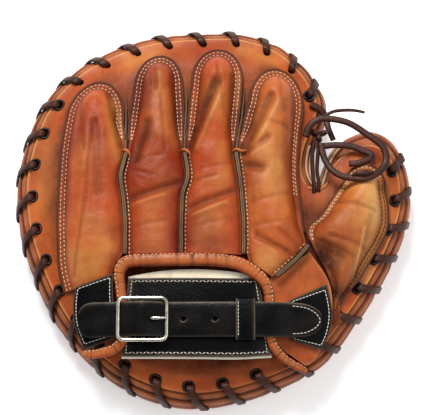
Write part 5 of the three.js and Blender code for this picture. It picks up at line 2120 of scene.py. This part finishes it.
def rounded_rectangle(width: float, height: float, corner: float, corner_steps: int) -> np.ndarray:
    """Gives a rounded rectangle's points, counter-clockwise.

    Args:
        width: Its size along the first axis.
        height: Its size along the second axis.
        corner: The radius of its corners.
        corner_steps: Points in each corner's arc.

    Returns:
        The points, with more between the corners.
    """
    points = []
    for start, (side_x, side_y) in enumerate(((1, 1), (-1, 1), (-1, -1), (1, -1))):
        centre = np.array([side_x * (width / 2 - corner), side_y * (height / 2 - corner)])
        for angle in np.linspace(start, start + 1, corner_steps) * math.pi / 2:
            points.append(centre + corner * np.array([math.cos(angle), math.sin(angle)]))
    return np.array(points)


# Free laces at the web.

# Each row holds x, y and z, then the width and the height.
SIDE_LACE_ROWS = (
    (69, 80, 34.5, 5, 2.4),
    (74, 78, 33.7, 5, 2.4),
    (78.5, 74, 31.6, 5, 2.4),
    (80.5, 68.5, 31.6, 4.6, 2.4),
    (82, 62, 32.4, 4, 2.4),
    (85, 54, 33.2, 4, 2.4),
)
CROSS_LACE_ROWS = (
    (78, 48, 38, 4.6, 2.6),
    (87, 48.6, 38.6, 4.6, 2.6),
    (97, 47.5, 39, 4.6, 2.6),
    (106, 43.8, 39.6, 4.6, 2.6),
    (111.5, 40.5, 40.4, 4.2, 2.6),
    (108, 37, 41.6, 4.6, 2.6),
    (101, 34.4, 41.8, 4.6, 2.6),
    (95, 34, 41, 4.6, 2.6),
)
LOOP_LACE_ROWS = (
    (64.4, 52.5, 45.6, 4.6, 3),
    (67.6, 60, 46.6, 4.6, 3),
    (74.5, 65, 47, 4.6, 3),
    (85.4, 64.6, 47.5, 4.6, 3),
    (96.6, 61, 48, 4.6, 3),
    (108, 53, 48.5, 4.8, 3),
    (117, 46, 48.5, 5, 3),
    (120.5, 38.5, 48.6, 5, 3),
    (119.4, 31, 49, 5, 3),
    (113.4, 24.3, 51, 5, 3),
    (105.7, 20.3, 53, 5, 3),
    (98.7, 20.4, 52.5, 5, 3),
    (90, 22.6, 49.5, 4.6, 3),
    (83.3, 27.5, 46.5, 4.6, 3),
    (79, 34, 45, 4.6, 3),
    (76.6, 41, 44.4, 4.6, 3),
    (75.6, 48, 44, 4.6, 3),
)
TAIL_LACE_ROWS = (
    (78, 67.8, 45.2, 2.4, 1.8),
    (85, 71.4, 44.6, 2.4, 1.8),
    (94, 73.2, 42, 2.4, 1.8),
    (101, 73.6, 39.6, 2.2, 1.6),
    (107, 73, 37.6, 2, 1.4),
)
POST_LACE_ROWS = (
    (71.4, 53, 40.4, 2.9, 2),
    (69.7, 42, 38.4, 2.9, 2),
    (69.9, 31, 36.6, 2.9, 2),
    (70.6, 21, 35.4, 2.9, 2),
    (70.8, 15, 32.8, 2.9, 2),
)
SECOND_POST_ROWS = (
    (74.4, 53, 40.4, 2.7, 2),
    (73.6, 42, 38.8, 2.7, 2),
    (72.9, 31, 36.9, 2.7, 2),
    (74, 22, 35.4, 2.7, 2),
    (73.8, 16, 32.8, 2.7, 2),
)
LOOP_TIE_ROWS = (
    (96, 22.2, 54, 0.8, 1),
    (100, 23.4, 55.4, 3.4, 1.8),
    (105, 23.6, 56, 3.8, 1.8),
    (111, 24.6, 54, 0.8, 1),
)


class LaceEnd(Enum):
    """What is on a lace's far end."""

    HELD = "object"
    BARE = "bare"


@dataclass
class WebLacing:
    """The free laces tied over the web, their knot, and the web's light cut edges."""

    form: MittForm
    knot_centre: tuple[float, float, float] = (74.6, 55.4, 40.4)
    knot_size: float = 1.25
    knot_width: float = 3.6
    knot_height: float = 2.6
    # Rows of the rim's table between which the cut edges run, and each edge's inset and height.
    edge_from: float = 34.6
    edge_to: float = 2.4
    edges: tuple[tuple[float, float], ...] = ((1.6, 27.2), (4.2, 29.6))
    edge_width: float = 1.9
    edge_height: float = 1.5

    def tie(
        self,
        name: str,
        rows: tuple[tuple[float, ...], ...],
        steps: int,
        stands_for: Sequence[str] = (),
    ) -> None:
        """Makes one free lace.

        Args:
            name: The lace's name.
            rows: Its route.
            steps: Steps along it.
            stands_for: The part's node that it replaces.
        """
        bar = routed_bar(rows, steps, 0.7)
        lace = finish_piece(bar.mesh(12), name, LACE, stands_for)

    def build(self) -> None:
        """Ties the knot, then makes the laces and the web's edges."""
        knot = self.build_knot()
        wrap = routed_bar(LOOP_TIE_ROWS, 24, 0.8)
        loop_tie = finish_piece(wrap.mesh(12), "web_loop_tie", LACE)
        self.tie("post_lace", POST_LACE_ROWS, 30, stands_for=["web_lace_post"])
        self.tie("second_post_lace", SECOND_POST_ROWS, 30)
        self.tie("side_lace", SIDE_LACE_ROWS, 30, stands_for=["web_lace_side"])
        self.tie("cross_lace", CROSS_LACE_ROWS, 50, stands_for=["web_lace_cross"])
        self.tie("loop_lace", LOOP_LACE_ROWS, 130, stands_for=["web_lace_loop"])
        self.tie("tail_lace", TAIL_LACE_ROWS, 24, ["web_lace_tail"])
        self.build_edges()

    def build_knot(self) -> bpy.types.Object:
        """Makes the knot, a lace wound through itself.

        Returns:
            The knot.
        """
        t = np.linspace(0, 2 * math.pi, 72, endpoint=False)
        x = 2.3 * (np.sin(t) + 0.75 * np.sin(2 * t))
        y = 1.7 * (np.cos(t) - 0.75 * np.cos(2 * t))
        z = 1.9 * np.sin(3 * t)
        path = self.knot_size * np.stack([x, y, z], axis=1) + np.array(self.knot_centre)
        bar = Bar(path, self.knot_width, self.knot_height, flatness=0.8, closed=True)
        return finish_piece(bar.mesh(12), "web_knot_lace", LACE, ["web_knot"])

    def build_edges(self) -> None:
        """Lays the two light cut edges round the bottom of the notch."""
        start = self.form.row_length(self.edge_from) - self.form.length
        end = self.form.row_length(self.edge_to)
        places = self.form.places(np.linspace(start, end, 90))
        for number, (inset, z) in enumerate(self.edges):
            path = places.at(inset + 0.12 * (places.row["seam"] - 8), z)
            path = path + 0.4 * ripple(path, 8.0, 2.0 + number)[:, None]
            edge = Bar(path, self.edge_width, self.edge_height, flatness=0.8)
            finish_piece(edge.mesh(10), f"web_edge_{number + 1}", PALE_EDGE)


# The setting.


@dataclass
class Setting:
    """The pale floor, the soft lights and the camera."""

    aim: tuple[float, float, float] = (0.0001, 0.0031, 0.03)
    elevation: float = 75.0  # in degrees
    distance: float = 1.25
    lens: float = 150.0
    floor_size: float = 4.0
    floor_tone: float = 0.95
    floor_glow: float = 0.4
    sky: float = 0.38

    def build(self) -> None:
        """Makes the floor, the lights and the camera."""
        self.build_floor()
        self.light("key", (-0.25, 0.85, 1.2), 0.55, 19)
        self.light("fill", (0.9, -0.2, 1.3), 1.0, 4.5)
        self.build_world()
        self.build_camera()

    def build_floor(self) -> None:
        """Makes the floor, which glows a little so that it looks as pale as the photo's ground."""
        floor = bmesh.new()
        bmesh.ops.create_grid(floor, x_segments=1, y_segments=1, size=self.floor_size)
        mesh = bpy.data.meshes.new("floor")
        floor.to_mesh(mesh)
        floor.free()
        plane = add_object("floor", mesh)
        material, sketch = start_material("pale_floor")
        sockets = {
            "Base Color": (self.floor_tone, self.floor_tone, self.floor_tone, 1),
            "Roughness": 0.8,
            "Emission Color": (1, 1, 1, 1),
            "Emission Strength": self.floor_glow,
        }
        sketch.end_in_shader(sockets)
        mesh.materials.append(material)

    def build_world(self) -> None:
        """Sets the light that comes from all round."""
        bpy.context.scene.view_settings.view_transform = "Standard"
        world = bpy.data.worlds.new("studio")
        bpy.context.scene.world = world
        world.use_nodes = True
        background = world.node_tree.nodes["Background"]
        background.inputs["Color"].default_value = (1, 1, 1, 1)
        background.inputs["Strength"].default_value = self.sky

    def build_camera(self) -> None:
        """Aims the camera down at the mitt from the wrist's side."""
        lens = bpy.data.cameras.new("camera")
        lens.lens = self.lens
        lens.sensor_width = 36
        lens.clip_start = 0.05
        camera = add_object("camera", lens)
        angle = math.radians(self.elevation)
        back = Vector((0, -math.cos(angle), math.sin(angle)))
        camera.location = Vector(self.aim) + back * self.distance
        camera.rotation_euler = (-back).to_track_quat("-Z", "Y").to_euler()
        bpy.context.scene.camera = camera

    def light(self, name: str, place: tuple[float, float, float], size: float, power: float) -> None:
        """Hangs one soft square light that looks at the mitt.

        Args:
            name: The light's name.
            place: Where it hangs, in metres.
            size: Its side.
            power: Its power in watts.
        """
        lamp = bpy.data.lights.new(name, "AREA")
        lamp.shape = "SQUARE"
        lamp.size = size
        lamp.energy = power
        holder = add_object(name, lamp)
        holder.location = place
        holder.rotation_euler = (Vector(self.aim) - Vector(place)).to_track_quat("-Z", "Y").to_euler()


def main() -> None:
    """Builds the mitt piece by piece."""
    logging.basicConfig(level=logging.INFO, format="%(message)s")
    Setting().build()
    form = MittForm()
    WebLacing(form).build()
    Palm(form).build()
    finger_thread = Thread("stitches_fingers")
    dark_thread = Thread("stitches_thumb")
    band_thread = Thread("stitches_wrist", width=0.65, height=0.6, pitch=2.5)
    BackPanel(form).build()
    RimLace(form).build()
    ring_rows = hand_rows("little_ring", "ring_middle") + RING_TIP_ROWS
    middle_rows = hand_rows("ring_middle", "middle_index") + MIDDLE_TIP_ROWS
    stalls = (
        Stall(form, "finger_little", LITTLE_ROWS, (-80, 94), 11.0, TAN),
        Stall(form, "finger_ring", ring_rows, (-38.5, 114), 23.0, EMBER),
        Stall(form, "finger_middle", middle_rows, (3, 119), 35.0, TAN),
        Stall(form, "finger_index", INDEX_ROWS, (47, 104), 47.0, HONEY, sewn_to=0.77),
        Stall(form, "thumb_back", THUMB_ROWS, (109, 33), 59.0, LIT_STRAW, sewn_from=0.19, dark_from=0.56),
    )
    for stall in stalls:
        stall.build(finger_thread, dark_thread)
    for name in ("little_ring", "ring_middle", "middle_index"):
        node = "welt_" + name
        SeamWelt(form, node, seam_line(name), (node,)).build(finger_thread)
    thumb_line = ((65.5, -27, 6.4), (59, -34.5, 7), (52, -41.5, 7.4), (43, -49, 7.6))
    SeamWelt(form, "welt_index_thumb", thumb_line, ("welt_index_thumb",)).build(finger_thread)
    build_crotches()
    build_valleys(form)
    WristOpening(form).build(finger_thread, band_thread)
    StrapSet().build(band_thread)
    finger_thread.finish()
    band_thread.finish(PALE_THREAD)
    dark_thread.finish(DARK_THREAD)


if __name__ == "__main__":
    main()
